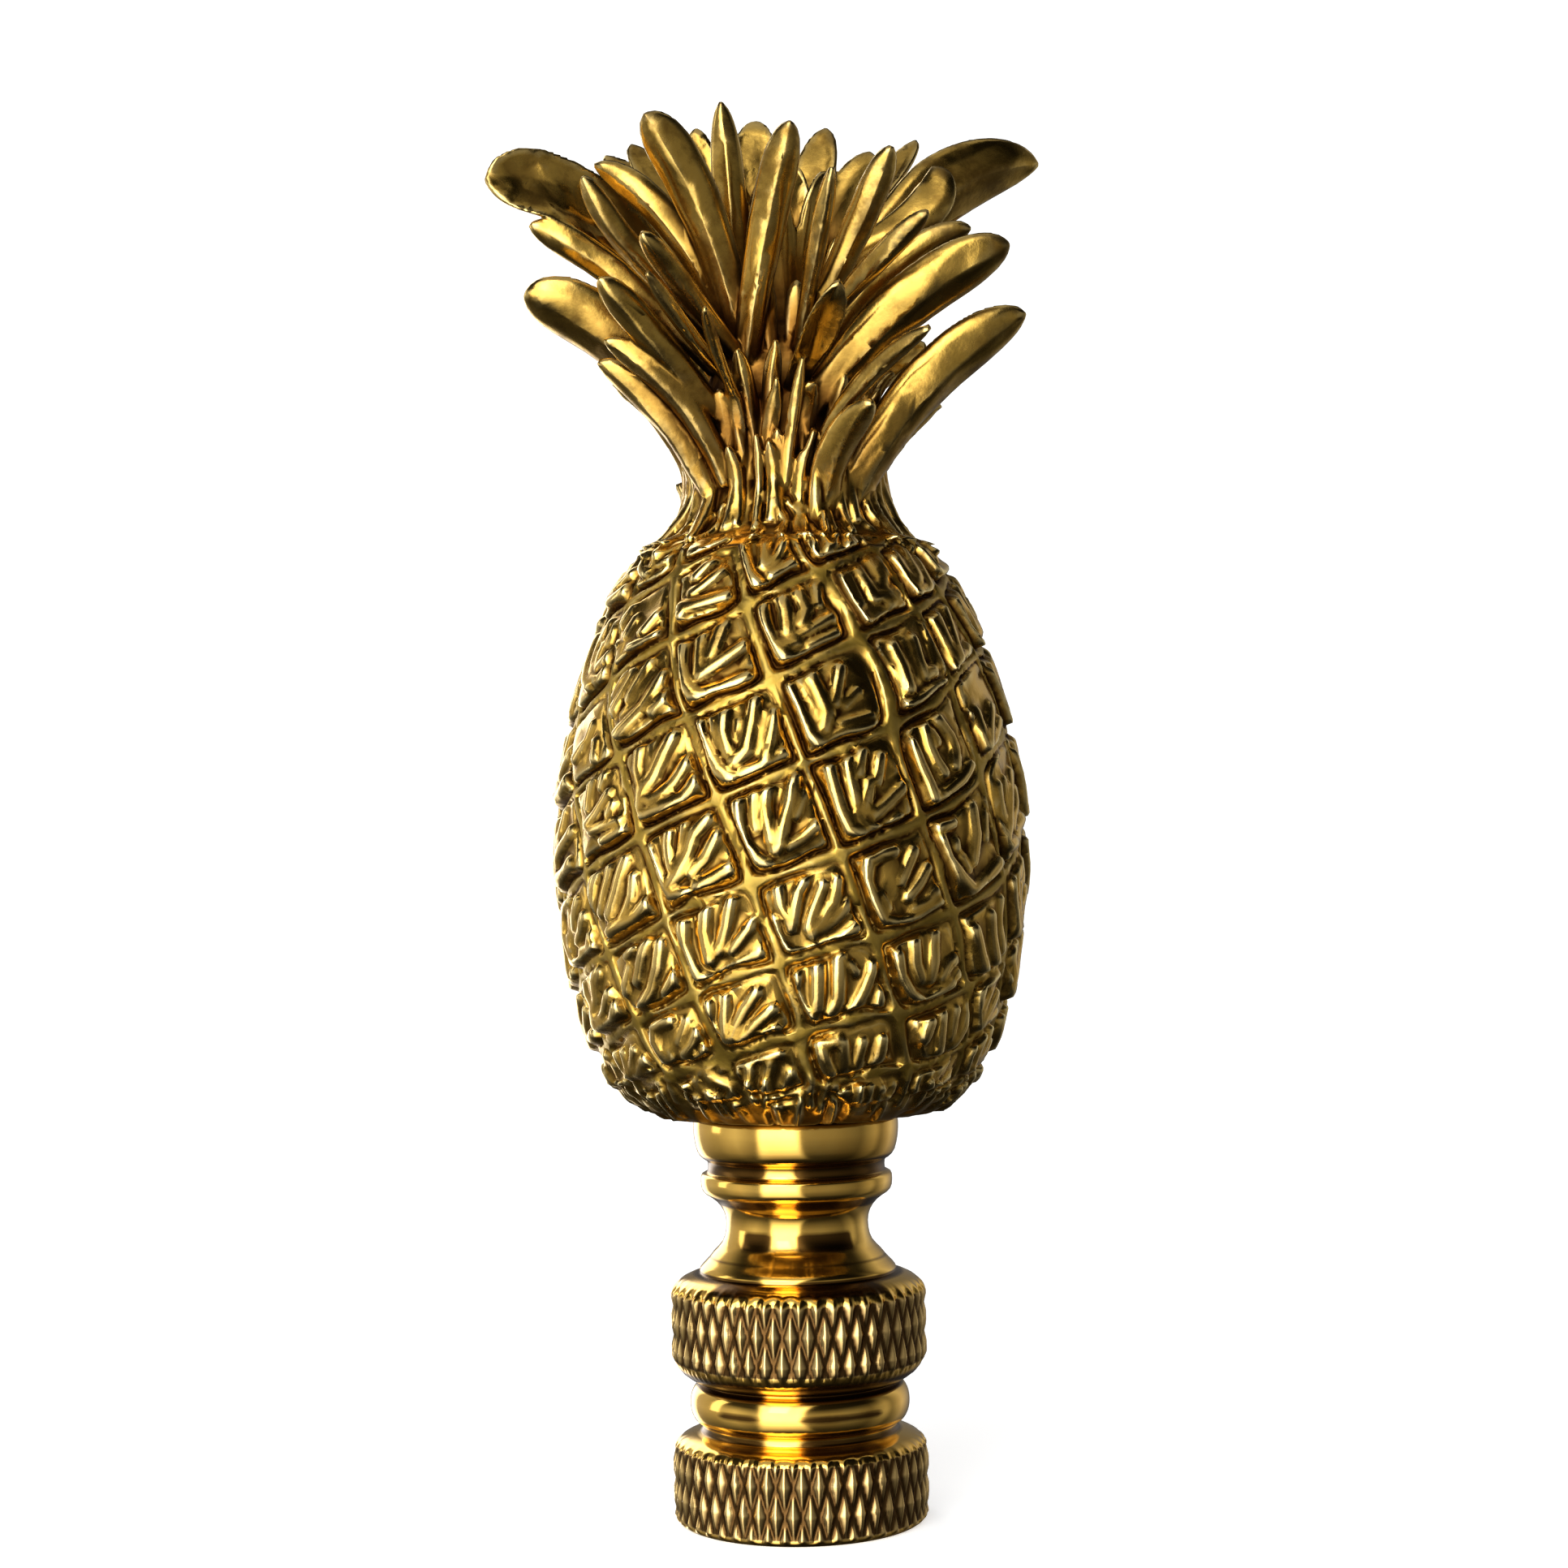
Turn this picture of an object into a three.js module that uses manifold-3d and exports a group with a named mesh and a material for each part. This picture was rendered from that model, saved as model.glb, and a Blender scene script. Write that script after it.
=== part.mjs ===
// Pineapple lamp finial: a cast brass pineapple with its crown of leaves, on a turned and knurled brass base.
// Millimetres, +Z up. The origin is the centre of the base's flat underside, and the front looks along -Y.
import * as THREE from "three";
import { mergeVertices } from "three/addons/utils/BufferGeometryUtils.js";
import Module from "manifold-3d";

// ---- driving dimensions --------------------------------------------------
const RING_R = 6.35; // both knurled rings, a 12.7 mm base
const HOLE_R = 3.2; // hole for a lamp harp's stud, blind
const HOLE_DEPTH = 10;
const BASE_TOP = 20.05;

const FRUIT_FOOT = 20.1; // the fruit's flat foot, just above the base's collar
const FRUIT_FOOT_R = 6.6;
const FRUIT_R = 11.45; // largest radius of the ground between the eyes
const FRUIT_MID = 32.5; // height of the largest radius
const FRUIT_DROP = 12.87; // from there down to where the lower curve would close
const FRUIT_RISE = 18.7; // and up to where the upper curve would close
const FRUIT_TOP = 48.3; // where the shoulder steps in to the neck
const EYE_RELIEF = 0.4; // how far an eye stands proud of the ground
const EYE_CHAINS = 15; // steep chains of eyes around the fruit
const EYE_CLOSE = 6; // steps down its chain that close one turn of the rising row
const EYE_TURN = 7.06; // degrees from an eye to the next one down its chain
const EYE_DROP = 4.13; // and how far below it that one is, at the fruit's middle
const EYE_CROWDING = 0.00064; // how the drop shrinks towards both ends
const EYE_FIRST = [-93.6, 48.31]; // azimuth and straight height of one eye at the top
const EYE_GROOVE = 0.15; // and how deep the V grooves between eyes go below it
const EYE_SHARE = 0.78; // share of its own pitch that an eye's flat top fills
const NECK_R = 4.72;
const NECK_Z = 51.2;
const CROWN_CORE_TOP = 60.5;

// ---- helpers ------------------------------------------------------------
const wasm = await Module();
wasm.setup();

function solid(geometry) {
  const g = geometry.clone();
  for (const name of ["normal", "uv"]) g.deleteAttribute(name);
  const m = mergeVertices(g, 1e-4);
  return new wasm.Manifold(
    new wasm.Mesh({
      numProp: 3,
      vertProperties: m.attributes.position.array,
      triVerts: new Uint32Array(m.index.array),
    }),
  );
}

function geometryOf(manifold) {
  const m = manifold.getMesh();
  const g = new THREE.BufferGeometry();
  g.setAttribute("position", new THREE.BufferAttribute(new Float32Array(m.vertProperties), 3));
  g.setIndex(new THREE.BufferAttribute(new Uint32Array(m.triVerts), 1));
  g.computeVertexNormals();
  return g;
}

// A solid of revolution about Z from [radius, height] pairs.
function turned(profile, segments) {
  const g = new THREE.LatheGeometry(profile.map(([r, z]) => new THREE.Vector2(r, z)), segments);
  g.rotateX(Math.PI / 2);
  return g;
}

const polar = (degrees, r, z) =>
  new THREE.Vector3(r * Math.cos((degrees * Math.PI) / 180), r * Math.sin((degrees * Math.PI) / 180), z);
const clamp01 = (x) => Math.min(1, Math.max(0, x));

// ---- fruit --------------------------------------------------------------
function fruitRadius(z) {
  return z < FRUIT_MID
    ? FRUIT_R * (1 - ((FRUIT_MID - z) / FRUIT_DROP) ** 1.59) ** (1 / 5)
    : FRUIT_R * (1 - ((z - FRUIT_MID) / FRUIT_RISE) ** 1.9) ** (1 / 2.45);
}

// The leaves' common stalk inside the crown.
const coreRadius = (z) => NECK_R * Math.sqrt(Math.max(0, 1 - ((z - NECK_Z) / (CROWN_CORE_TOP - NECK_Z)) ** 2));

// Azimuth and height of the point that is i chains round and j eyes down from the first eye.
function latticePoint(i, j) {
  const straight = EYE_FIRST[1] + (EYE_CLOSE / EYE_CHAINS) * EYE_DROP * i - EYE_DROP * j - 35.95;
  return [
    EYE_FIRST[0] + ((360 - EYE_CLOSE * EYE_TURN) / EYE_CHAINS) * i + EYE_TURN * j,
    35.95 + straight - EYE_CROWDING * straight ** 3,
    straight,
  ];
}

// The carved skin: one square pad for each eye, whose edges follow the lattice so that one corner points down, with
// V grooves between them. Its two open ends are closed to points on the axis.
function skin() {
  const points = [], faces = [], indexOf = new Map();
  const point = (i, j, proud) => {
    const [azimuth, z] = latticePoint(i, j);
    const height = Math.min(FRUIT_TOP - 0.1, Math.max(FRUIT_FOOT + 0.7, z));
    const q = polar(azimuth, fruitRadius(height) + proud, height);
    points.push(q.x, q.y, q.z);
    return points.length / 3 - 1;
  };
  const groundCorner = (i, j) => {
    if (i > EYE_CHAINS - 1) [i, j] = [i - EYE_CHAINS, j - EYE_CLOSE];
    const key = i + "," + j;
    if (!indexOf.has(key)) indexOf.set(key, point(i, j, -EYE_GROOVE));
    return indexOf.get(key);
  };
  const around = [[-1, -1], [-1, 1], [1, 1], [1, -1]];
  for (let i = 0; i < EYE_CHAINS; i++)
    for (let j = -2; j < 16; j++) {
      const [, z, straight] = latticePoint(i, j);
      if (Math.abs(straight) > 19 || z < FRUIT_FOOT + 0.9 || z > FRUIT_TOP - 0.5) continue;
      const ground = around.map(([u, v]) => groundCorner(i + u / 2, j + v / 2));
      const pad = around.map(([u, v]) => point(i + (u * EYE_SHARE) / 2, j + (v * EYE_SHARE) / 2, EYE_RELIEF));
      for (let n = 0; n < 4; n++) {
        const m = (n + 1) % 4;
        faces.push([ground[n], ground[m], pad[m]], [ground[n], pad[m], pad[n]]);
      }
      faces.push([pad[0], pad[1], pad[2]], [pad[0], pad[2], pad[3]]);
    }
  // edges that only one face has run round the two open ends
  const edges = new Map();
  for (const f of faces) for (let n = 0; n < 3; n++) edges.set(f[n] + "," + f[(n + 1) % 3], [f[n], f[(n + 1) % 3]]);
  const apex = [FRUIT_FOOT + 2, FRUIT_TOP - 2].map((z) => points.push(0, 0, z) / 3 - 1);
  for (const [p, q] of edges.values())
    if (!edges.has(q + "," + p)) faces.push([q, p, points[3 * p + 2] < FRUIT_MID ? apex[0] : apex[1]]);
  const g = new THREE.BufferGeometry();
  g.setAttribute("position", new THREE.Float32BufferAttribute(points, 3));
  g.setIndex(faces.flat());
  return solid(g);
}

function fruitAndNeck() {
  const profile = [[0, FRUIT_FOOT], [FRUIT_FOOT_R, FRUIT_FOOT]];
  for (const z of [20.5, 21.1, 22]) profile.push([fruitRadius(z) - 0.1, z]);
  for (const z of [25, 30, 35, 40, 44]) profile.push([fruitRadius(z) - 0.9, z]);
  for (const z of [46.8, 47.7, FRUIT_TOP]) profile.push([fruitRadius(z) - 0.1, z]);
  profile.push([5.9, FRUIT_TOP + 0.45], [5.2, FRUIT_TOP + 1.5], [NECK_R, NECK_Z]);
  for (const z of [53, 55, 57, 59]) profile.push([coreRadius(z), z]);
  profile.push([0, CROWN_CORE_TOP]);
  return solid(turned(profile, 30)).add(skin());
}

// ---- crown --------------------------------------------------------------
// One leaf: root, middle and tip as azimuth, radius and height, then half width, half thickness and the azimuth its
// outer face looks to. Azimuth 0 is +X and -90 is the front.
const FRONT_LEAVES = [
  [-92, 4.7, 48.8, -88, 4.9, 52.3, -81, 6.1, 56.9, 0.35, 0.42, -88],
  [-83, 5.7, 56.1, -77, 7.0, 57.8, -74, 9.7, 59.7, 1.00, 0.62, -77],
  [-82, 4.8, 48.6, -82, 4.8, 50.8, -75, 5.6, 53.4, 0.25, 0.35, -82],
  [-65, 4.8, 48.8, -68, 6.0, 51.8, -63, 9.2, 54.3, 0.90, 0.75, -75],
  [-72, 6.3, 46.5, -75, 5.4, 48.7, -75, 5.6, 51.6, 0.31, 0.42, -75],
  [-73, 4.5, 52.0, -61, 7.3, 55.2, -53, 11.4, 57.6, 0.52, 0.60, -70],
  [-46, 3.9, 49.4, -32, 7.5, 55.0, -21, 12.6, 59.1, 1.42, 0.95, -58],
  [-23, 3.8, 49.5, -23, 5.2, 53.3, -18, 8.4, 55.6, 0.72, 0.80, -45],
  [-69, 3.8, 54.7, -44, 7.8, 59.0, -30, 12.6, 62.1, 1.44, 0.90, -65],
  [-39, 2.4, 58.0, -18, 5.8, 61.8, -13, 9.6, 63.8, 0.84, 0.70, -50],
  [-66, 4.4, 58.4, -57, 7.7, 60.9, -51, 11.0, 63.2, 0.60, 0.62, -72],
  [29, 1.7, 58.4, 13, 6.8, 66.0, 19, 14.1, 68.5, 1.72, 0.95, -60],
  [89, 2.0, 59.9, 44, 5.8, 65.7, 40, 9.4, 70.1, 0.83, 0.70, 60],
  [-75, 3.1, 57.8, -55, 6.1, 62.8, -51, 8.5, 66.8, 0.70, 0.68, -80],
  [76, 1.0, 59.7, 39, 3.2, 64.0, 35, 5.7, 68.9, 1.32, 0.75, 70],
  [-77, 3.5, 57.7, -74, 5.7, 61.6, -72, 8.0, 65.6, 0.49, 0.60, -88],
  [88, 1.0, 59.7, 66, 2.9, 65.0, 60, 4.9, 70.4, 1.12, 0.75, 80],
  [-122, 3.5, 57.2, -100, 4.6, 63.0, -84, 6.2, 68.2, 0.84, 0.75, -90],
  [135, 1.4, 59.7, 121, 2.6, 65.0, 108, 3.8, 70.7, 1.36, 0.80, 90],
  [-154, 2.7, 58.1, -147, 2.9, 63.7, -143, 3.6, 70.2, 0.84, 0.75, -90],
  [-128, 3.8, 58.0, -134, 5.5, 64.3, -139, 8.6, 68.8, 1.18, 0.80, -98],
  [158, 2.6, 59.8, 149, 3.9, 64.9, 145, 5.2, 70.2, 0.95, 0.75, 95],
  [158, 2.6, 59.8, 156, 5.3, 65.0, 151, 8.8, 69.7, 0.95, 0.75, 110],
  [-140, 3.4, 58.0, -153, 5.8, 63.7, -166, 9.4, 67.2, 0.84, 0.72, -110],
  [162, 3.2, 59.8, 152, 6.3, 65.5, 151, 10.4, 69.3, 0.87, 0.72, 120],
  [-124, 4.8, 57.2, -128, 7.6, 60.2, -129, 10.5, 62.5, 0.62, 0.62, -100],
  [-138, 4.5, 57.8, -146, 8.6, 62.2, -147, 11.3, 65.7, 0.67, 0.66, -108],
  [172, 3.5, 58.0, -171, 8.6, 64.6, -168, 14.6, 66.8, 1.85, 0.85, 130],
  [-160, 4.3, 57.1, -163, 8.4, 61.6, -166, 12.7, 64.1, 0.84, 0.70, -140],
  [-119, 5.0, 55.4, -125, 7.8, 58.0, -126, 10.8, 60.5, 0.41, 0.55, -98],
  [-114, 5.0, 54.2, -117, 6.8, 56.8, -114, 9.0, 58.9, 0.33, 0.50, -94],
  [-128, 4.9, 53.9, -136, 8.3, 57.5, -139, 11.5, 60.5, 0.89, 0.75, -108],
  [-152, 4.3, 53.4, -158, 8.5, 57.9, -162, 13.2, 60.5, 1.71, 0.95, -125],
  [-128, 4.8, 51.1, -136, 7.0, 55.1, -147, 10.2, 57.9, 0.78, 0.75, -112],
  [-140, 5.0, 50.5, -147, 6.9, 54.3, -155, 9.9, 57.1, 0.83, 0.85, -130],
  [-108, 4.2, 52.3, -112, 4.5, 54.8, -113, 5.7, 57.4, 0.51, 0.60, -92],
  [-98, 4.0, 52.3, -99, 4.2, 54.8, -94, 4.8, 57.9, 0.47, 0.60, -90],
];
const BACK_LEAVES = [
  [62, 2.8, 50.0, 30, 7.1, 55.9, 20, 12.9, 60.2, 1.17, 0.95, 50],
  [77, 3.5, 56.0, 42, 7.2, 60.8, 27, 12.8, 64.3, 1.26, 0.9, 60],
  [148, 3.7, 54.0, 159, 8.4, 58.9, 163, 13.2, 61.8, 1.37, 0.95, 130],
  [154, 3.4, 58.2, 156, 8.8, 65.2, 159, 14.4, 68.0, 1.17, 0.85, 128],
  [139, 4.8, 51.3, 146, 6.8, 55.3, 153, 10.1, 57.9, 0.79, 0.85, 130],
  [67, 2.2, 59.1, 41, 6.8, 64.5, 41, 11.3, 67.9, 1.05, 0.8, 60],
  [117, 4.7, 53.6, 125, 8.6, 57.9, 133, 12.1, 61.5, 0.94, 0.8, 112],
  [111, 4.8, 54.5, 116, 8.4, 58.8, 117, 11.5, 63.3, 0.9, 0.75, 100],
  [101, 4.6, 54.5, 101, 7.9, 59.3, 100, 11.2, 64.7, 0.99, 0.78, 92],
  [91, 4.5, 54.5, 87, 7.8, 59.7, 84, 11.3, 64.2, 0.86, 0.72, 86],
  [82, 4.3, 54.4, 71, 7.6, 59.1, 67, 10.9, 62.6, 0.94, 0.75, 78],
  [76, 3.9, 53.1, 56, 8.0, 57.3, 48, 11.3, 59.9, 0.89, 0.8, 66],
  [130, 3.9, 58.5, 130, 7.4, 63.6, 131, 10.9, 67.7, 0.89, 0.75, 112],
  [120, 3.7, 58.9, 117, 6.7, 64.5, 115, 9.3, 69.2, 0.93, 0.75, 100],
  [108, 3.4, 58.9, 100, 5.9, 64.9, 98, 8.1, 69.7, 0.97, 0.75, 92],
  [94, 3.0, 58.8, 81, 5.9, 64.4, 77, 8.8, 68.7, 0.85, 0.72, 84],
  [81, 2.8, 58.8, 61, 6.0, 63.8, 57, 9.1, 67.8, 0.88, 0.72, 72],
  [108, 5.1, 49.9, 113, 6.5, 53.9, 116, 9.1, 56.6, 0.8, 0.75, 104],
  [87, 4.9, 49.9, 81, 6.3, 53.8, 76, 9.1, 57.2, 0.85, 0.75, 84],
];
// The leaves at both sides.
const SIDE_LEAVES = [
  [0, 1.7, 50.9, 0, 6.2, 55.1, 1, 11.7, 59.4, 0.93, 0.95, 0],
  [12, 1.4, 56.3, 3, 5.6, 60.0, 1, 10.6, 63.0, 0.94, 0.9, -10],
  [8, 3.4, 49.7, 9, 5.0, 53.0, 9, 8.0, 55.6, 0.69, 0.8, 10],
  [180, 3.3, 53.5, 178, 7.6, 58.3, 180, 12.0, 61.0, 1.06, 0.95, 180],
  [180, 4.0, 50.6, 180, 5.7, 54.4, 180, 8.5, 56.8, 0.69, 0.85, 180],
  [-165, 4.0, 51.3, -165, 6.0, 56.1, -167, 9.1, 59.1, 0.88, 0.85, -160],
];
// The upright leaves in the crown's heart.
const HEART_LEAVES = [[-110, 2.2, 66.5], [-20, 2.4, 67.0], [70, 2.0, 68.0], [160, 2.6, 67.5]].map(
  ([azimuth, r, z]) => [azimuth, 1.2, 56, azimuth, 1.4, 61.5, azimuth, r, z, 1.25, 0.9, azimuth],
);

// The leaf is a blade with a rounded tip: a capped cylinder whose rings are laid along a curve as flat ellipses.
function leaf([ra, rr, rz, ma, mr, mz, ta, tr, tz, halfWidth, halfThickness, faces]) {
  const root = polar(ra, Math.min(rr, coreRadius(Math.max(rz, NECK_Z)) - 0.15), rz), middle = polar(ma, mr, mz), tip = polar(ta, tr, tz);
  const pull = middle.clone().multiplyScalar(2).addScaledVector(root, -0.5).addScaledVector(tip, -0.5);
  const spine = new THREE.QuadraticBezierCurve3(root, pull, tip);
  const g = new THREE.CylinderGeometry(1, 1, 1, 5, 3);
  const p = g.attributes.position;
  const outward = polar(faces, 1, -0.35).normalize();
  for (let i = 0; i < p.count; i++) {
    const s = 1 - (1 - (p.getY(i) + 0.5)) ** 1.9;
    const along = spine.getTangent(s).normalize();
    const normal = outward.clone().addScaledVector(along, -outward.dot(along)).normalize();
    const side = along.clone().cross(normal);
    const width = halfWidth * (0.6 + 0.4 * clamp01(s / 0.55)) * Math.sqrt(Math.max(0.1, 1 - clamp01((s - 0.74) / 0.26) ** 2.2));
    const thickness = halfThickness * (1 - 0.55 * s ** 3);
    const q = spine.getPoint(s).addScaledVector(side, p.getX(i) * width).addScaledVector(normal, p.getZ(i) * thickness);
    p.setXYZ(i, q.x, q.y, q.z);
  }
  return solid(g);
}

let casting = fruitAndNeck();
for (const row of [...FRONT_LEAVES, ...BACK_LEAVES, ...SIDE_LEAVES, ...HEART_LEAVES]) casting = casting.add(leaf(row));

// ---- base ---------------------------------------------------------------
function base() {
  const profile = [[0, HOLE_DEPTH], [HOLE_R, HOLE_DEPTH - 0.9], [HOLE_R, 0.4], [HOLE_R + 0.4, 0], [6.1, 0], [RING_R, 0.3]];
  profile.push([RING_R, 3.6], [6.2, 3.85], [5.8, 4.15], [4.9, 4.45], [4.87, 4.85]); // lower ring and its shoulder
  for (let a = -60; a <= 60; a += 30) {
    // bead
    profile.push([4.9 + 0.53 * Math.cos((a * Math.PI) / 180), 5.85 + 0.95 * Math.sin((a * Math.PI) / 180)]);
  }
  profile.push([4.87, 6.88], [5.23, 7.0], [5.82, 7.4], [6.23, 7.9], [RING_R, 8.2]); // bevel under the upper ring
  profile.push([RING_R, 11.3], [6.02, 11.8], [5.0, 12.25], [4.9, 12.35], [4.75, 12.7]);
  profile.push([4.18, 13.27], [3.68, 13.85], [3.53, 14.6], [3.66, 15.3], [4.05, 15.85], [4.6, 16.2]); // waisted neck
  profile.push([4.76, 16.6], [4.74, 17.1], [4.5, 17.25], [4.45, 17.75]); // lip ring and groove
  profile.push([4.72, 17.95], [5.0, 18.5], [5.11, 19.1], [5.1, 19.9], [4.95, BASE_TOP], [0, BASE_TOP]); // collar
  return solid(turned(profile, 28));
}

// ---- assembly -----------------------------------------------------------
const brass = (color, roughness) => new THREE.MeshStandardMaterial({ color, roughness, metalness: 1 });

const finial = new THREE.Group();
finial.name = "pineapple_finial";
const pineapple = new THREE.Mesh(geometryOf(casting), brass(0xa8842c, 0.32));
pineapple.name = "pineapple";
finial.add(pineapple);
const knurledBase = new THREE.Mesh(geometryOf(base()), brass(0xc79a3a, 0.2));
knurledBase.name = "knurled_base";
finial.add(knurledBase);

export default finial;
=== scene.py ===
import math

import bpy
import numpy as np
import openvdb
from mathutils import Matrix, Vector


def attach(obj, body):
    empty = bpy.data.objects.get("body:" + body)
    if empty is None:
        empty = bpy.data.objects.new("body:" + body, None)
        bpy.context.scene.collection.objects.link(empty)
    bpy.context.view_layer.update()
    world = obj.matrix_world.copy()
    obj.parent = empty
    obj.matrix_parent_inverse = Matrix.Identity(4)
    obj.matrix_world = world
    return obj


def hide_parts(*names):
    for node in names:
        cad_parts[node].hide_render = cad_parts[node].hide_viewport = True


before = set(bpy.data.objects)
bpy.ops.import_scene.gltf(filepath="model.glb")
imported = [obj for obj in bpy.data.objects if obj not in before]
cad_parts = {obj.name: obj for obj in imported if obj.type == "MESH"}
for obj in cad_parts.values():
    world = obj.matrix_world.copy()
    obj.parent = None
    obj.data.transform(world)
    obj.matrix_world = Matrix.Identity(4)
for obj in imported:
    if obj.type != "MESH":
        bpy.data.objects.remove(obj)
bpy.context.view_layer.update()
scene = bpy.context.scene

# ---- camera ---------------------------------------------------------------
# 1932 x 1932 picture, 3450 px focal length, 140 mm in front of the axis, looking up 1.18 degrees, rolled 0.94 degrees.
pitch, roll = math.radians(1.18), math.radians(-0.94)
ahead = Vector((0, math.cos(pitch), math.sin(pitch)))
right0 = Vector((1, 0, 0))
up0 = right0.cross(ahead)
right = right0 * math.cos(roll) + up0 * math.sin(roll)
up = up0 * math.cos(roll) - right0 * math.sin(roll)
cam_data = bpy.data.cameras.new("camera")
cam_data.lens_unit = "MILLIMETERS"
cam_data.sensor_width = 36
cam_data.lens = 36 * 3450 / 1932
cam_data.clip_start = 0.005
cam_data.clip_end = 20
camera = bpy.data.objects.new("camera", cam_data)
scene.collection.objects.link(camera)
camera.matrix_world = Matrix(
    (
        (right.x, up.x, -ahead.x, -0.0003),
        (right.y, up.y, -ahead.y, -0.140),
        (right.z, up.z, -ahead.z, 0.0336),
        (0, 0, 0, 1),
    )
)
scene.camera = camera

# ---- sizes, as in the solid model -------------------------------------------
FRUIT_FOOT = 20.1
FRUIT_R = 11.45
FRUIT_MID = 32.5
FRUIT_DROP = 12.87
FRUIT_RISE = 18.7
FRUIT_TOP = 48.3
EYE_CHAINS = 15
EYE_CLOSE = 6
EYE_TURN = 7.06
EYE_DROP = 4.13
EYE_CROWDING = 0.00064
EYE_FIRST = (-93.6, 48.31)
NECK_R = 4.72
NECK_Z = 51.2
CORE_TOP = 60.5
PITCH = 0.115  # grid step of the casting's field, mm


def smooth(a, b, x):
    t = np.clip((x - a) / (b - a), 0, 1)
    return t * t * (3 - 2 * t)


def fruit_radius(z):
    z = np.asarray(z, float)
    low = FRUIT_R * np.maximum(0.02, 1 - (np.clip(FRUIT_MID - z, 0, 12.86) / FRUIT_DROP) ** 1.59) ** (1 / 5)
    high = FRUIT_R * np.maximum(0.01, 1 - (np.clip(z - FRUIT_MID, 0, 18.6) / FRUIT_RISE) ** 1.9) ** (1 / 2.45)
    return np.where(z < FRUIT_MID, low, high)


def core_radius(z):
    return NECK_R * np.sqrt(np.maximum(0, 1 - ((z - NECK_Z) / (CORE_TOP - NECK_Z)) ** 2))


def body_radius(z):
    """The fruit's ground, its shoulder, the neck and the leaves' common stalk."""
    z = np.asarray(z, float)
    neck = np.interp(z, [48.2, 48.6, 49.2, 49.8, 50.4, 51.2, 52.0], [6.7, 5.9, 5.35, 5.05, 4.85, 4.65, 4.6])
    stalk = np.interp(z, [51.2, 53, 55, 57, 59, 60.5, 61], [4.65, 4.6, 4.2, 3.6, 2.5, 0.6, 0.0])
    return np.where(z < FRUIT_TOP, np.minimum(fruit_radius(z), 20), np.where(z < 51.2, neck, stalk))


# ---- the eyes' places -------------------------------------------------------
_s = np.linspace(-19.5, 19.5, 400)
_z = 35.95 + _s - EYE_CROWDING * _s**3


def straight_of(z):
    return np.interp(z, _z, _s)


def lattice_point(i, j):
    """Azimuth and height of the eye i chains round and j down its chain."""
    straight = EYE_FIRST[1] + (EYE_CLOSE / EYE_CHAINS) * EYE_DROP * i - EYE_DROP * j - 35.95
    azimuth = EYE_FIRST[0] + ((360 - EYE_CLOSE * EYE_TURN) / EYE_CHAINS) * i + EYE_TURN * j
    return azimuth, 35.95 + straight - EYE_CROWDING * straight**3, straight


# Hand carving leaves each eye a little off the regular net: azimuth + 90 and height of those in front.
FRONT_EYES = {
    (0, 0): (-6.5, 47.08), (0, 1): (2.4, 43.96), (0, 2): (10.8, 39.94), (0, 3): (17.6, 35.97),
    (0, 4): (26.1, 31.56), (0, 5): (34.8, 27.66), (0, 6): (45.2, 24.41),
    (-1, 0): (-26.0, 45.75), (-1, 1): (-19.8, 42.01), (-1, 2): (-11.6, 38.35), (-1, 3): (-2.5, 34.50),
    (-1, 4): (4.6, 30.31), (-1, 5): (11.4, 27.02), (-1, 6): (14.9, 23.72),
    (-2, 0): (-49.2, 44.16), (-2, 1): (-42.9, 40.69), (-2, 2): (-31.9, 36.72), (-2, 3): (-23.3, 33.04),
    (-2, 4): (-17.6, 29.21), (-2, 5): (-12.8, 25.77), (-2, 6): (-7.8, 22.59),
    (-3, 1): (-63.5, 38.30), (-3, 2): (-51.9, 35.29), (-3, 3): (-45.7, 30.95), (-3, 4): (-38.9, 27.44),
    (-3, 5): (-33.8, 24.34),
    (1, 1): (28.2, 45.62), (1, 2): (37.3, 42.14), (1, 3): (39.9, 37.51), (1, 4): (47.2, 33.23), (1, 5): (57.6, 28.83),
    (2, 3): (61.7, 40.17),
}

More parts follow.
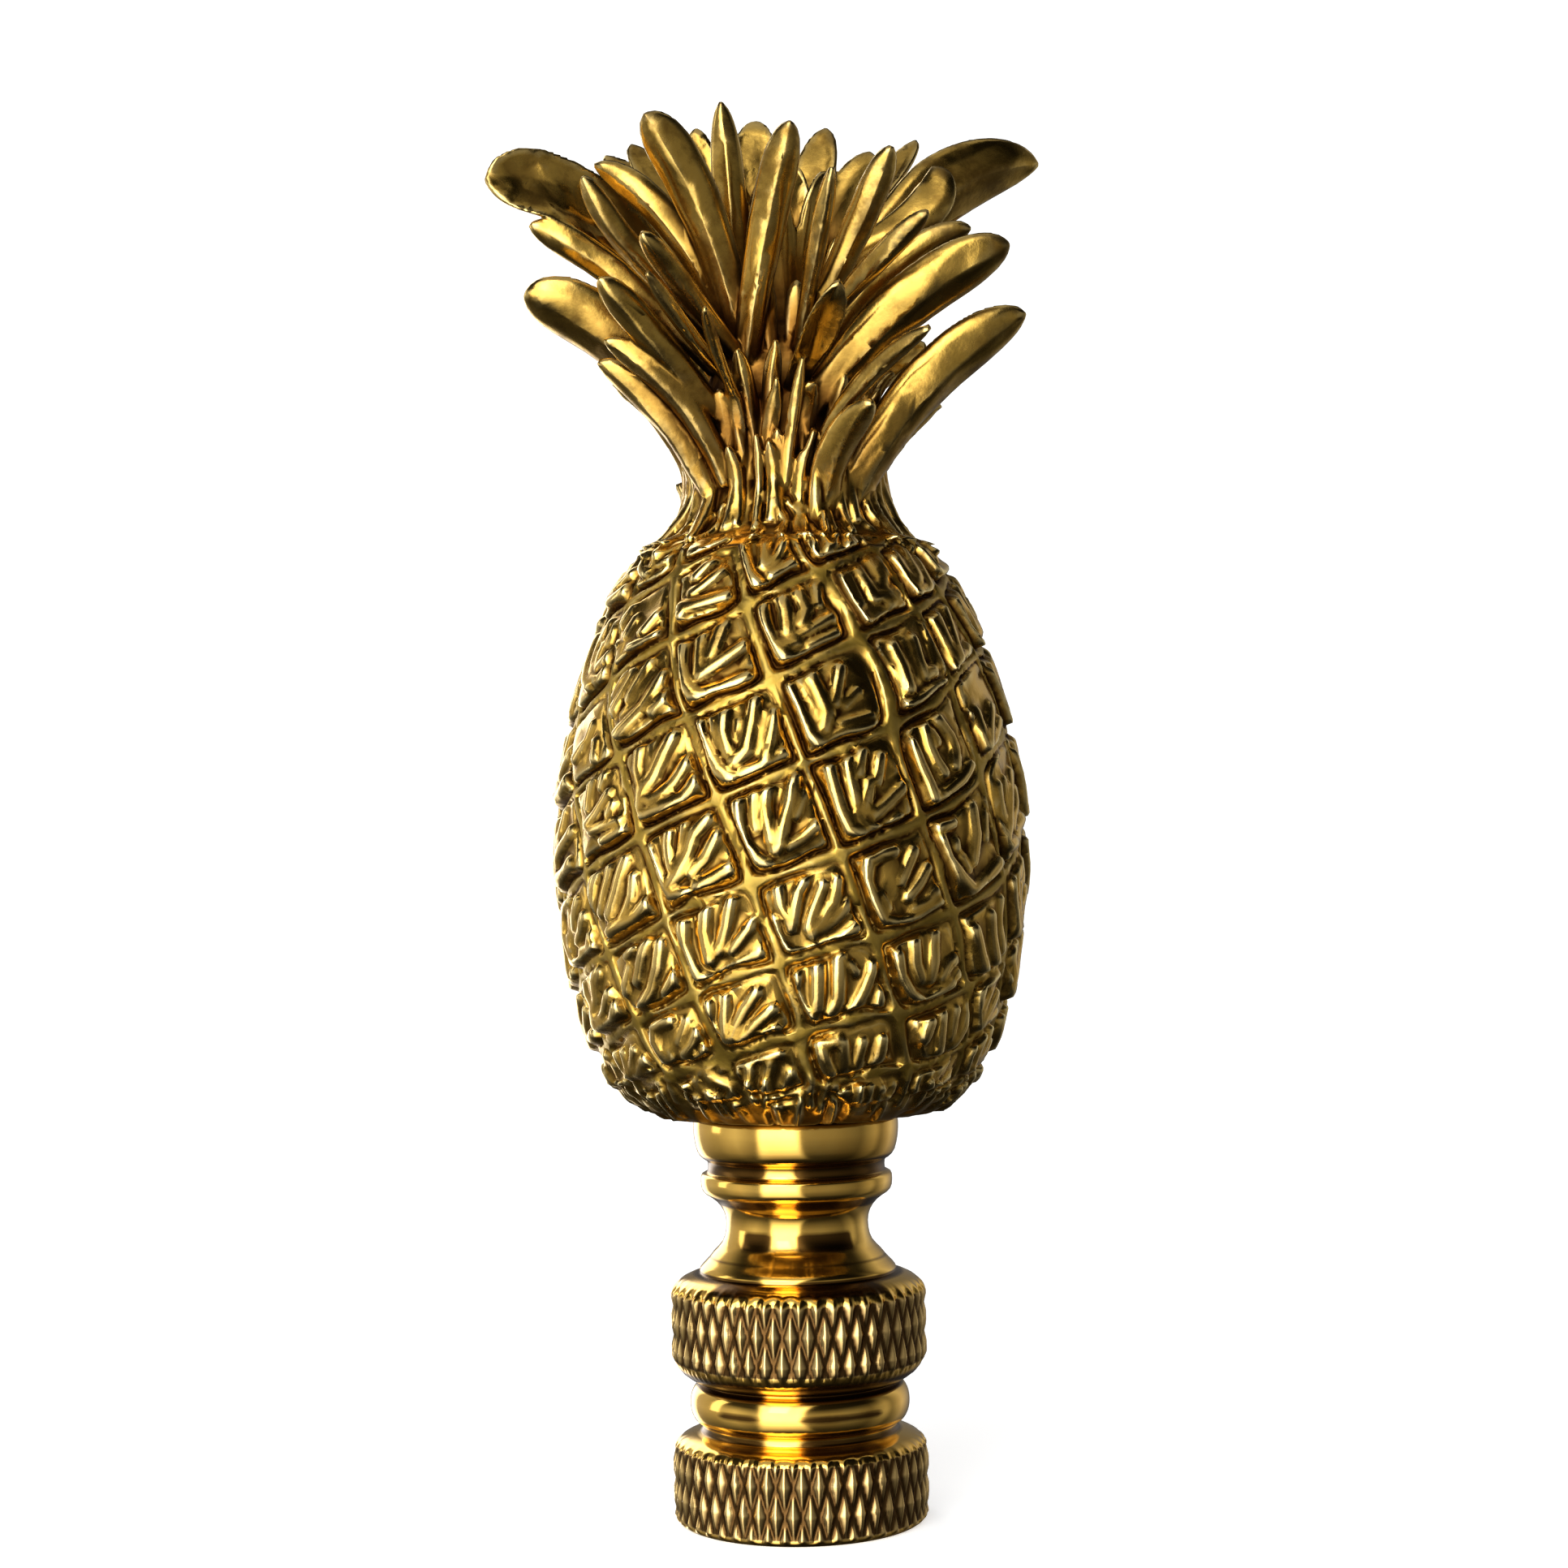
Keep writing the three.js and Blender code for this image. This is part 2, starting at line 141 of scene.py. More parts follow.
# Raised lines on an eye: width, height share, then points across and up from its centre, mm.
RIDGES = {
# <ridges>
    (-3, 1): [(0.34, 0.8, 1.2, 0.2, 1.4, -0.5), (0.38, 0.8, -0, 0.1, -0.6, -0.5), (0.3, 0.6, 0.6, 1.1, 0.2, 0.4)],
    (-3, 2): [(0.4, 1, 0.6, 0.7, -0.1, -0.2, -0.8, -0.7), (0.34, 0.9, 1, 0.2, 0.8, -0.2), (0.25, 0.8, 1.5, -0.6, 0.5, -0.8, -0.5, -1), (0.25, 0.8, 1.7, -1, 0.5, -1.5), (0.4, 0.7, -0.9, 1.5, -1.1, 0.1), (0.34, 0.7, -0, 1.7, -0.1, 1.1)],
    (-3, 3): [(0.4, 1, 0.7, 1.9, 0.1, 0.6, -0.5, -0.7), (0.34, 0.95, 1.2, 1.1, 1.1, 0.2, 0.4, -0.9), (0.42, 1, 1.9, -0.2, 1.3, -0.7, -0, -1.2, -0.6, -1.5), (0.3, 0.7, -0.4, 1.5, -0.9, 0.3, -1.2, -0.6), (0.38, 0.8, -1.4, 1.8, -1.9, 0.3, -2.1, -0.7)],
    (-3, 4): [(0.34, 1, 0.4, 1.6, -0.1, 0.6, -0.5, -0.3), (0.38, 1, 1.1, 1.5, 0.9, 0.5, 0.3, -0.7, -0.6, -1.8), (0.3, 0.8, 1.8, -0, 1.1, -0.8), (0.25, 0.7, -0.5, 1.3, -1.1, 0.9), (0.3, 0.7, -1, 0.3, -1.4, -0.7, -1.9, -1.5)],
    (-2, 0): [(0.25, 0.9, 1.2, 0.4, 0.6, -0.5), (0.46, 1, 1.7, -0.8, 1, -1.1, 0.3, -1.3), (0.3, 0.6, -0.4, 0.3, -0.6, -0.5), (0.3, 0.6, -1, 0.9, -1.5, -0)],
    (-2, 1): [(0.46, 1.05, 1.5, 0.8, 0.7, -0.6, -0.1, -1.4, -0.7, -1.9), (0.4, 0.9, 1.8, -0.3, 1.2, -0.8), (0.25, 0.9, 0.5, 1.5, 0, 0.6, -0.4, -0.2), (0.33, 0.8, -0.4, 1.1, -1, -0, -1.5, -0.8), (0.25, 0.6, 0.8, 1, 0.1, -0.2, -0.6, -1), (0.25, 0.6, -0.9, 1.3, -1.4, 0.4, -1.8, -0.3)],
    (-2, 2): [(0.34, 0.9, -2.6, 0.5, -2.3, -0.3, -1.8, -0.8), (0.42, 0.9, -1.4, 1.5, -1.4, 0.5, -1.1, -0.3), (0.34, 0.6, -0.7, 1.8, -0.7, 0.3), (0.52, 1.05, 0.4, 1.9, 0, 1.1, -0.4, 0.1, -1, -0.6, -1.1, -1.4), (0.38, 0.95, 1.3, 0.6, 0.6, -0.4, -0.3, -1.1, -0.9, -1), (0.42, 1, 1.9, -0.2, 1.3, -1, 0, -1.5, -1, -1.8)],
    (-2, 3): [(0.36, 1, -2.4, 0.3, -2, -0.5, -1.5, -1.3, -1.1, -1.8, -0.2, -1.8), (0.3, 0.8, -1.3, 1, -1.3, 0.5, -1.1, -0.3, -0.8, -1), (0.28, 0.7, -0.4, 1.3, -0.5, 0.3, -0.6, -0.6), (0.42, 1, 0.8, 1.7, 0.1, 1, -0.2, 0.1, -0.6, -0.8, -1.1, -1.3), (0.34, 0.8, 1.3, 0.9, 0.7, -0.1, -0, -0.8), (0.38, 0.9, 1.9, -0.6, 1, -1.1, 0.3, -1.4)],
    (-2, 4): [(0.44, 1, -1.7, 0.6, -1.8, -0.2, -1.5, -1.1, -1.1, -1.9, -0.6, -2), (0.42, 0.9, -0.6, 1.3, -0.7, 0.3, -0.5, -1), (0.34, 0.9, 0.7, 1.7, 0.4, 0.5, 0, -0.6), (0.28, 0.8, 1.8, 0.8, 1.1, -0, 0.6, -0.6), (0.3, 0.6, 1, -1.2, 0.2, -1.8), (0.25, 0.5, 2, -0.7, 1.2, -1.1)],
    (-2, 5): [(0.3, 0.95, -1.7, 0.3, -1.8, -0.5, -1.4, -1.4, -1.1, -1.8), (0.28, 0.85, -0.8, 0.6, -0.9, -0.3, -0.9, -1.2, -0.9, -1.8), (0.38, 0.95, 0.7, 0.9, 0.1, 0.1, -0.4, -0.8, -0.8, -1.8), (0.38, 0.95, 1.4, 0.1, 0.5, -0.7, -0.3, -1.6, -0.7, -1.9), (0.46, 0.9, 1.5, -1, 0.8, -1.4, 0.2, -1.8)],
    (-2, 6): [(0.3, 0.8, -1.6, 0.2, -1.7, -0.6), (0.3, 0.8, -0.8, 0.5, -0.9, -0.5), (0.34, 0.8, 0.2, 0.8, 0, 0.1, -0.2, -0.7), (0.25, 0.6, 1.1, 0.2, 0.8, -0.8), (0.28, 0.6, -2.3, 0.5, -1, 1, 0.6, 1.3)],
    (-1, 0): [(0.4, 1, -0.1, 1.4, -0.7, 0.6), (0.38, 0.95, 0.6, 0.8, -0.1, 0.1, -0.6, -0.3), (0.5, 1.05, 1.1, -0.6, 0, -0.9, -0.9, -1.1, -1, -1.5), (0.3, 0.6, -2.2, 1.5, -1.8, 0.5)],
    (-1, 1): [(0.5, 1, -1.9, 0.9, -1.7, -0.2, -1.2, -1.1, -0.8, -1.5), (0.48, 1, -0.9, -1.5, -0.4, -1.6, 0.6, -1.3, 1.6, -0.8), (0.42, 0.9, -0.9, 1.4, -0.8, 0.5, -0.6, -0.6), (0.52, 0.9, 0.2, 1.9, -0, 1.1, -0.2, 0.3), (0.42, 1, -0.5, -0.5, 0.5, 0.1, 1.4, 0.8)],
    (-1, 2): [(0.48, 1, -2.3, 1, -2.1, 0.2, -1.5, -0.7, -1, -1.4, -0.4, -1.8), (0.24, 0.6, -1.4, 1.2, -1.3, 0.5, -1, -0.3), (0.42, 0.9, -0.9, 1.3, -0.9, 0.4, -0.6, -0.6), (0.24, 0.5, -0.1, 0.8, -0.1, -0), (0.45, 1, 0.6, 1.8, 0.5, 0.8, 0.3, -0.5, -0.3, -1), (0.36, 0.9, 1.6, 1.2, 1.4, 0.3, 1.2, -1), (0.22, 0.6, 1, 1.2, 0.9, -0.6), (0.34, 0.7, 0.1, -1.6, 1, -1.3, 1.9, -0.7)],
    (-1, 3): [(0.4, 1, -2, 0.9, -2, 0.1, -1.7, -1, -1.2, -1.6, -0.6, -2), (0.34, 0.85, -0.6, 1.5, -0.7, 0.8, -0.5, -0.2, -0.4, -0.8), (0.3, 0.5, -1.2, 1.3, -1.1, -0.2), (0.34, 1, 0.7, 2.1, 0.5, 1.1, 0.2, 0.1, 0, -1), (0.24, 0.7, 1.1, 1.3, 0.7, 0.3), (0.26, 0.8, 1.7, -0.2, 1.1, -0.7, 0.4, -1.1), (0.46, 0.8, -0.2, -0.6, -0.2, -1.2)],
    (-1, 4): [(0.36, 0.9, -1.9, -0.3, -1.8, -1, -1.3, -1.8, -0.6, -2), (0.28, 0.8, -1.6, 1.2, -1.5, 0.4, -1.1, -0.3, -1, -0.7), (0.28, 0.9, -0.4, 1.4, -0.7, 0.9, -0.8, 0.3, -0.9, -0.4), (0.25, 0.8, 0.5, 1.3, 0.2, 0.5, -0.1, -0.3, -0.2, -0.7), (0.3, 0.8, 1.2, 1.5, 1, 0.5, 0.3, -0.5, 0, -1), (0.28, 0.7, 1.8, 0.5, 1.1, -0.3, 0.4, -0.8), (0.34, 0.8, 2.1, -0.7, 1.5, -1.2, 1, -1.4, -0.6, -2)],
    (-1, 5): [(0.34, 0.9, -2.1, 0.3, -2.3, -0.3, -1.9, -1.2, -1.2, -1.9), (0.38, 0.9, -1.1, 0.8, -1.1, -0.2, -1.1, -1.2), (0.42, 0.95, -0.1, 1.3, -0.1, 0.2, -0.1, -0.8, -0.4, -1.4), (0.2, 0.8, 0.4, 0.9, 0.7, 0.5), (0.34, 0.85, 1.6, 0.8, 1.2, -0.4, 0.5, -1.6), (0.3, 0.6, 2.1, -0.5, 2, -1.1), (0.25, 0.6, -1.2, -1.9, -0.3, -2.1, 0.6, -1.9)],
    (-1, 6): [(0.38, 0.9, -1.4, 0.1, -1.1, -0.7, -0.5, -1.7, -0.1, -2), (0.34, 0.8, -0.4, 0.5, -0.2, -0.6, -0, -1.5), (0.3, 0.7, 0.6, 0.5, 0.5, -0.5, 0.3, -1.4), (0.34, 0.8, 1.6, 0.6, 1.5, -0.4, 1.2, -1.4), (0.28, 0.6, -2, 0.5, -1.1, 0.4, -0.5, 0.6)],
    (0, 0): [(0.46, 1.05, -1.5, 0.9, -1.1, -0.2, -0.8, -1, -0.3, -1.8), (0.34, 0.7, -0.3, 1.9, -0.2, 0.8, -0.1, -0.5), (0.3, 0.7, 0.8, 1.1, 0.5, 0.2, 0.2, -0.4), (0.3, 0.6, 1.4, -0.2, 0.8, -0.6, 0.3, -1)],
    (0, 1): [(0.48, 1, -1.7, 0.8, -1.5, -0.2, -1.1, -1.2, -0.5, -1.9), (0.28, 0.6, -0.2, -2, 1, -1.6, 2.1, -1.3), (0.5, 0.8, -0.6, -1.3, -0.1, -1.2), (0.52, 0.9, -0.8, 1.5, -0.5, 0.5, -0.4, -0.7), (0.34, 0.7, -0.4, -1, 0.6, -0.5, 1.8, 0.2), (0.45, 0.8, 0.1, 1.5, 0.5, 0.6, 0.2, -0.2), (0.4, 0.7, 1.2, 1.8, 1.1, 0.9), (0.33, 0.6, 1.8, -0.8, 0.6, -1.3)],
    (0, 2): [(0.44, 1.05, -2.2, 0.9, -1.9, 0.3, -1.5, -0.6, -1.1, -1.4, -0.7, -1.8), (0.26, 0.7, -1.7, 1.5, -1, -0, -0.7, -1), (0.48, 1, -1, 1.4, -0.6, 0.5, -0.3, -0.4, -0.5, -1.2), (0.38, 0.9, 0.5, 1.7, 0.3, 0.9, 0.1, 0.1), (0.28, 0.5, 1.3, 0.6, 0.6, -0), (0.25, 0.7, 2.1, -1.1, 0.5, -1.3, -0.4, -1.7), (0.24, 0.6, 1.8, -0.6, 0.2, -1)],
    (0, 3): [(0.42, 1, -1.7, 1, -1.5, -0, -1.2, -1, -0.8, -1.8, -0.1, -2.2), (0.3, 0.8, -0.8, 1.5, -0.7, 0.5, -0.5, -0.7), (0.4, 0.9, -0.1, 1.7, -0.3, 0.8), (0.34, 0.8, 0.2, 0.3, -0.1, -1), (0.3, 0.8, 0.9, 1.5, 0.6, 0.4), (0.33, 0.8, 2, 0.1, 1, -0.7, 0.3, -1.2), (0.24, 0.8, -0.5, -1.1, -0.1, -1.7, 0.5, -1.9), (0.3, 0.6, 1.2, -1.8, 1.6, -1.4)],
    (0, 4): [(0.4, 1, -1.7, 1.1, -1.8, 0.1, -1.5, -0.8, -1, -1.7, -0.2, -1.9, 1.1, -1.6, 2.2, -1), (0.34, 0.95, -1.5, 1.1, -1, 1.4, -0.4, 1.5), (0.7, 0.45, -0.6, 0.8, -0.6, -0.3), (0.34, 0.8, 0.7, 1.5, 0.2, 0.6, -0.1, 0.1), (0.33, 0.95, 1.4, 0.7, 0.9, 0, 0.3, -0.6), (0.42, 0.8, 1.9, -0.4, 1.4, -1, 0.7, -1.2), (0.25, 0.7, -1.1, -0.5, -0.8, -1.1)],
    (0, 5): [(0.42, 1, -1.8, 0.5, -1.6, -0.4, -1, -1.3, -0.1, -1.9, 0.7, -1.4, 1.4, -0.9), (0.34, 0.8, -0.9, 1.1, -0.8, 0.2, -0.4, -0.6), (0.42, 0.8, 0.3, 1.4, 0.3, 0.3, 0.1, -0.6), (0.34, 0.8, 2, 0.4, 1.3, 0.1, 0.8, -0.6), (0.3, 0.6, 2, -0.4, 1.3, -0.9)],
    (0, 6): [(0.46, 0.95, -1.4, 0.6, -1.6, -0.2), (0.34, 0.8, -0.6, 0.9, -0.5, -0, -0.4, -1), (0.3, 0.7, 0.3, 1.1, 0.3, -0.3), (0.38, 0.8, 1.2, 1.4, 1.1, 0.2, 0.6, -0.8)],
    (1, 1): [(0.34, 1.05, -2, 1.2, -1.8, 0.2, -1.5, -1.1, -1, -2), (0.3, 0.7, -1, -2, -0.4, -2.4, 0.2, -2.1), (0.5, 0.55, -1.5, 1.3, -1.4, 0.2, -1.1, -1), (0.42, 0.75, -0.8, 1.5, -0.5, 0.4, -0.2, -0.6, 0.7, -0.4), (0.6, 0.6, 0.5, 1.5, 0.6, 0.5, 0.4, 0.1), (0.5, 0.5, 0.6, -0.8, 1.8, 0.1)],
    (1, 2): [(0.35, 1.05, -2.5, 0.4, -2.2, -0.5, -2, -1.4, -1.8, -2.3), (0.34, 0.8, -1.4, 0.6, -1.1, -0.3, -1, -1.5), (0.36, 0.9, -0.1, 1, -0.1, -0, 0.1, -0.8, 0.7, -0.6), (0.3, 0.8, -1.8, -2.4, -1.1, -2.4, 0.6, -1.5, 2.5, -1), (0.36, 0.6, 1.1, 0.9, 1.1, -0.2), (0.3, 0.4, -0.6, 0.8, -0.5, -1)],
    (1, 3): [(0.32, 1, -1.9, 0.6, -1.5, -0.4, -1.1, -1.3, -0.9, -2), (0.3, 0.9, -0.9, 1.3, -0.8, 0.5, -0.5, -0.2, -0.1, -0.8), (0.34, 0.9, -0.6, 1.1, -0.3, 0.7), (0.38, 0.8, 0, 1.7, 0.7, 1, 0.9, 0.4, 0.7, -0.4), (0.3, 0.8, -0.9, -2, -0.2, -1.8, 1, -1.1, 1.8, -0.4)],
    (1, 4): [(0.46, 1, -2.1, 0.3, -1.8, -0.6, -1, -1.5, -0.1, -2.1, 1, -1.6, 2.2, -0.8), (0.34, 0.9, -2.1, 0.9, -1.3, 1.1), (0.5, 0.9, 0.3, 1.8, 0.3, 0.6, 0, -0.6), (0.3, 0.6, -0.8, -0.4, -0.4, -1), (0.3, 0.6, 1.4, 1.5, 1.1, 0.5), (0.3, 0.8, -1.1, 0.2, -1.1, 0)],
    (1, 5): [(0.46, 1, -1.7, 0.4, -1.1, -0.6, -0.5, -1.8, 0.3, -2.1, 1.3, -1.8), (0.38, 0.9, -0.4, 1.1, -0.1, 0.2, 0.3, -0.8, 0.8, -1.5), (0.3, 0.7, 0.7, 1.8, 0.8, 0.5, 1.1, -0.6)],
# </ridges>
}

# ---- carved skin of the fruit: height over the ground as a map of azimuth and height -------------------------
N_TH, N_Z = 1500, 660
TH = (np.arange(N_TH) + 0.5) / N_TH * 360 - 180  # azimuth, degrees
ZZ = np.linspace(19.8, 52.6, N_Z)


def make_skin():
    rng = np.random.default_rng(5)
    az, zz = np.meshgrid(TH, ZZ)  # rows are heights
    st = straight_of(zz)
    # the carver's wander: offsets of the measured eyes, spread smoothly around them
    turn = (360 - EYE_CLOSE * EYE_TURN) / EYE_CHAINS
    da, ds, weight = np.zeros_like(az), np.zeros_like(az), np.full_like(az, 0.05)
    for (i, j), (theta, z) in FRONT_EYES.items():
        a0, _, s0 = lattice_point(i, j)
        gap_a, gap_s = theta - 90 - a0, float(straight_of(z)) - s0
        d2 = (((az - a0 + 180) % 360 - 180) * 0.2) ** 2 + (st - s0) ** 2
        w = np.exp(-d2 / (2 * 1.7**2))
        da += w * gap_a
        ds += w * gap_s
        weight += w
    a1 = az - da / weight
    s1 = st - ds / weight
    # fractional chain and row numbers
    drop = (EYE_CLOSE / EYE_CHAINS) * EYE_DROP
    A = np.array([[turn, EYE_TURN], [drop, -EYE_DROP]])
    inv = np.linalg.inv(A)
    u = inv[0, 0] * (a1 - EYE_FIRST[0]) + inv[0, 1] * (s1 - EYE_FIRST[1] + 35.95)
    v = inv[1, 0] * (a1 - EYE_FIRST[0]) + inv[1, 1] * (s1 - EYE_FIRST[1] + 35.95)
    iu, iv = np.round(u), np.round(v)
    p, q = 2 * (u - iu), -2 * (v - iv)
    radius = fruit_radius(zz)
    step_u = np.hypot(np.radians(turn) * radius, drop)  # mm from chain to chain
    step_v = np.hypot(np.radians(EYE_TURN) * radius, EYE_DROP * (1 - 3 * EYE_CROWDING * np.clip(s1, -19, 19) ** 2))
    d1 = (1 - np.abs(p)) * step_u / 2
    d2 = (1 - np.abs(q)) * step_v / 2
    k = 0.12
    dn = -k * np.log(np.exp(-d1 / k) + np.exp(-d2 / k))
    wobble = 0.05 * np.sin(az * 0.31 + zz * 1.1) + 0.04 * np.sin(az * 0.53 - zz * 0.8 + 1)
    dn = dn + wobble
    net = 0.06 * (1 - smooth(0.10, 0.22, dn))
    side = np.maximum(smooth(0.35, -0.45, p), smooth(0.35, -0.45, q))  # the left and lower sides of each eye
    groove = -0.30 * np.exp(-(((dn - 0.29) / 0.10) ** 2)) * (0.30 + 0.70 * side)
    # each eye is a pad that stands proud at its left and lower sides and sinks towards the upper right
    tilt = 0.13 * smooth(0.9, -1.0, p) + 0.13 * smooth(0.9, -1.0, q)
    floor = (0.02 + tilt) * smooth(0.28, 0.49, dn)
    h = net + groove + floor
    ridge = np.zeros_like(h)

    def stroke(points, width, height, a, b, rows, cols):
        best = np.full(a.shape, 9.0)
        length = 0.0
        for (x0, y0), (x1, y1) in zip(points[:-1], points[1:]):
            ex, ey = x1 - x0, y1 - y0
            t = np.clip(((a - x0) * ex + (b - y0) * ey) / max(1e-6, ex * ex + ey * ey), 0, 1)
            best = np.minimum(best, np.hypot(a - x0 - t * ex, b - y0 - t * ey))
        shape = np.sqrt(np.clip(1 - (best / (0.20 + 0.48 * width)) ** 2, 0, 1))
        ridge[np.ix_(rows, cols)] = np.maximum(ridge[np.ix_(rows, cols)], 0.34 * height * shape)

    def eye(theta, z, strokes, scale, lift):
        r = float(fruit_radius(z)) + 0.33
        slope = (float(fruit_radius(z + 0.5)) - float(fruit_radius(z - 0.5))) / 1.0
        c = 1 / math.hypot(1, slope)
        rows = np.nonzero(np.abs(ZZ - z) < 3.3 * scale)[0]
        dist = (TH - (theta - 90) + 180) % 360 - 180
        cols = np.nonzero(np.abs(dist) < math.degrees(3.4 * scale / r))[0]
        a, b = np.meshgrid(np.radians(dist[cols]) * r, (ZZ[rows] - z) / c)
        for w, hgt, *flat in strokes:
            pts = [(flat[n] * scale, flat[n + 1] * scale) for n in range(0, len(flat), 2)]
            stroke(pts, w, hgt * lift, a, b, rows, cols)

    for key, (theta, z) in FRONT_EYES.items():
        if key in RIDGES:
            eye(theta, z, RIDGES[key], 1.0, 1.0)
    # The other eyes, carved alike with the same few cuts.
    models = [RIDGES[k] for k in ((-1, 1), (-1, 2), (-2, 2), (0, 3), (-2, 3), (0, 4), (-1, 3), (-2, 4), (-2, 5), (-1, 5))]
    for i in range(EYE_CHAINS):
        for j in range(-2, 16):
            azimuth, z, s0 = lattice_point(i, j)
            if abs(s0) > 19 or z < FRUIT_FOOT + 1.2 or z > FRUIT_TOP - 0.4:
                continue
            theta = (azimuth + 90 + 180) % 360 - 180
            near = [k for k, (t, h0) in FRONT_EYES.items() if abs((theta - t + 180) % 360 - 180) * 0.2 < 1.9 and abs(z - h0) < 2.0]
            if any(k in RIDGES for k in near):
                continue
            size = min(1.0, (float(fruit_radius(z)) / 11.0) ** 0.8) * (1 - 0.012 * abs(s0))
            model = models[rng.integers(0, len(models))]
            bent = []
            for w, hgt, *flat in model:
                g = rng.normal(0, 0.05, len(flat))
                bent.append((w * rng.uniform(0.9, 1.1), hgt * rng.uniform(0.85, 1.05), *[x + e for x, e in zip(flat, g)]))
            eye(theta, z, bent, size, 0.95)
    h = h + ridge * smooth(0.05, 0.28, dn)
    # worn and shallower near the foot, and nothing of it above the shoulder
    h *= 1 - 0.35 * smooth(24.5, 21.5, zz)
    h = np.where(zz > FRUIT_TOP - 0.6, h * smooth(FRUIT_TOP + 0.1, FRUIT_TOP - 0.6, zz), h)
    # fine upright squiggles where the lowest leaves spring from the shoulder and the neck
    sq = np.zeros_like(h)
    for n in range(95):
        a0 = rng.uniform(-180, 180)
        z0 = rng.uniform(47.2, 50.6)
        length = rng.uniform(0.7, 1.6)
        lean = rng.uniform(-0.35, 0.35)
        width = rng.uniform(0.20, 0.30)
        rr = float(body_radius(z0)) + 0.2
        dist = np.radians((az - a0 + 180) % 360 - 180) * rr
        y = zz - z0
        bend = 0.12 * np.sin(y * 4 + n)
        d = np.hypot(dist - lean * y - bend, np.maximum(0, np.abs(y) - length / 2))
        sq = np.maximum(sq, rng.uniform(0.2, 0.34) * np.clip(1 - (d / width) ** 2, 0, 1))
    band = smooth(46.9, 47.9, zz) * smooth(52.2, 51.0, zz)
    h = h + sq * band
    # the foot of the fruit is worn to fine upright flutes
    fl = np.zeros_like(h)
    for n in range(80):
        a0 = n * 4.5 + rng.uniform(-1.6, 1.6)
        z0 = rng.uniform(20.7, 21.9)
        length = rng.uniform(0.7, 1.8)
        lean = rng.uniform(-0.3, 0.3)
        rr = float(fruit_radius(max(z0, 20.4))) + 0.1
        dist = np.radians((az - a0 + 180) % 360 - 180) * rr
        y = zz - z0
        d = np.hypot(dist - lean * y, np.maximum(0, np.abs(y) - length / 2))
        fl = np.maximum(fl, rng.uniform(0.16, 0.30) * np.clip(1 - (d / rng.uniform(0.2, 0.3)) ** 2, 0, 1))
    h = h + fl * smooth(23.2, 22.2, zz)
    # uneven casting
    for n in range(14):
        ka, kz, ph = rng.integers(3, 26), rng.uniform(0.3, 2.6), rng.uniform(0, 6.28)
        h += 0.011 * np.sin(np.radians(az) * ka + kz * zz * (1 if n % 2 else -1) + ph)
    return h.astype(np.float32), dn, side


# ---- the field of the whole casting ---------------------------------------------------------------------------
LO = np.array([-14.9, -12.5, 19.6])
HI = np.array([14.1, 12.5, 71.6])
NX, NY, NZ = (np.ceil((HI - LO) / PITCH).astype(int) + 1).tolist()
GX = (LO[0] + PITCH * np.arange(NX)).astype(np.float32)
GY = (LO[1] + PITCH * np.arange(NY)).astype(np.float32)
GZ = (LO[2] + PITCH * np.arange(NZ)).astype(np.float32)


def body_field(field, skin):
    """Signed distance to the fruit, its neck and the stalk inside the crown."""
    gx, gy = np.meshgrid(GX, GY, indexing="ij")
    r = np.hypot(gx, gy)
    th = (np.degrees(np.arctan2(gy, gx)) + 180) / 360 * N_TH - 0.5
    i0 = np.floor(th).astype(int)
    f = (th - i0).astype(np.float32)
    i1 = (i0 + 1) % N_TH
    i0 = i0 % N_TH
    near = r < 13.2
    for k, z in enumerate(GZ):
        if z > 61.0:
            break
        base = float(body_radius(z))
        slope = (float(body_radius(z + 0.15)) - float(body_radius(z - 0.15))) / 0.3
        if z < FRUIT_FOOT:
            base, slope = float(body_radius(FRUIT_FOOT)), 0
        slope = max(-3.0, min(3.0, slope))
        c = 1 / math.hypot(1, slope)
        t = min(max((z - ZZ[0]) / (ZZ[1] - ZZ[0]), 0), N_Z - 1.001)
        m = int(t)
        row = skin[m] * (1 - (t - m)) + skin[m + 1] * (t - m)
        h = row[i0] * (1 - f) + row[i1] * f
        d = (r - base) * c - h
        d = np.maximum(d, FRUIT_FOOT - z)
        field[:, :, k] = np.where(near, d, 1.0)


def merge(a, b, k):
    """Union of two signed distances with a fillet of about k."""
    m = np.clip(0.5 + 0.5 * (b - a) / k, 0, 1)
    return b * (1 - m) + a * m - k * m * (1 - m)


def polar(azimuth, r, z):
    a = math.radians(azimuth)
    return np.array([r * math.cos(a), r * math.sin(a), z])


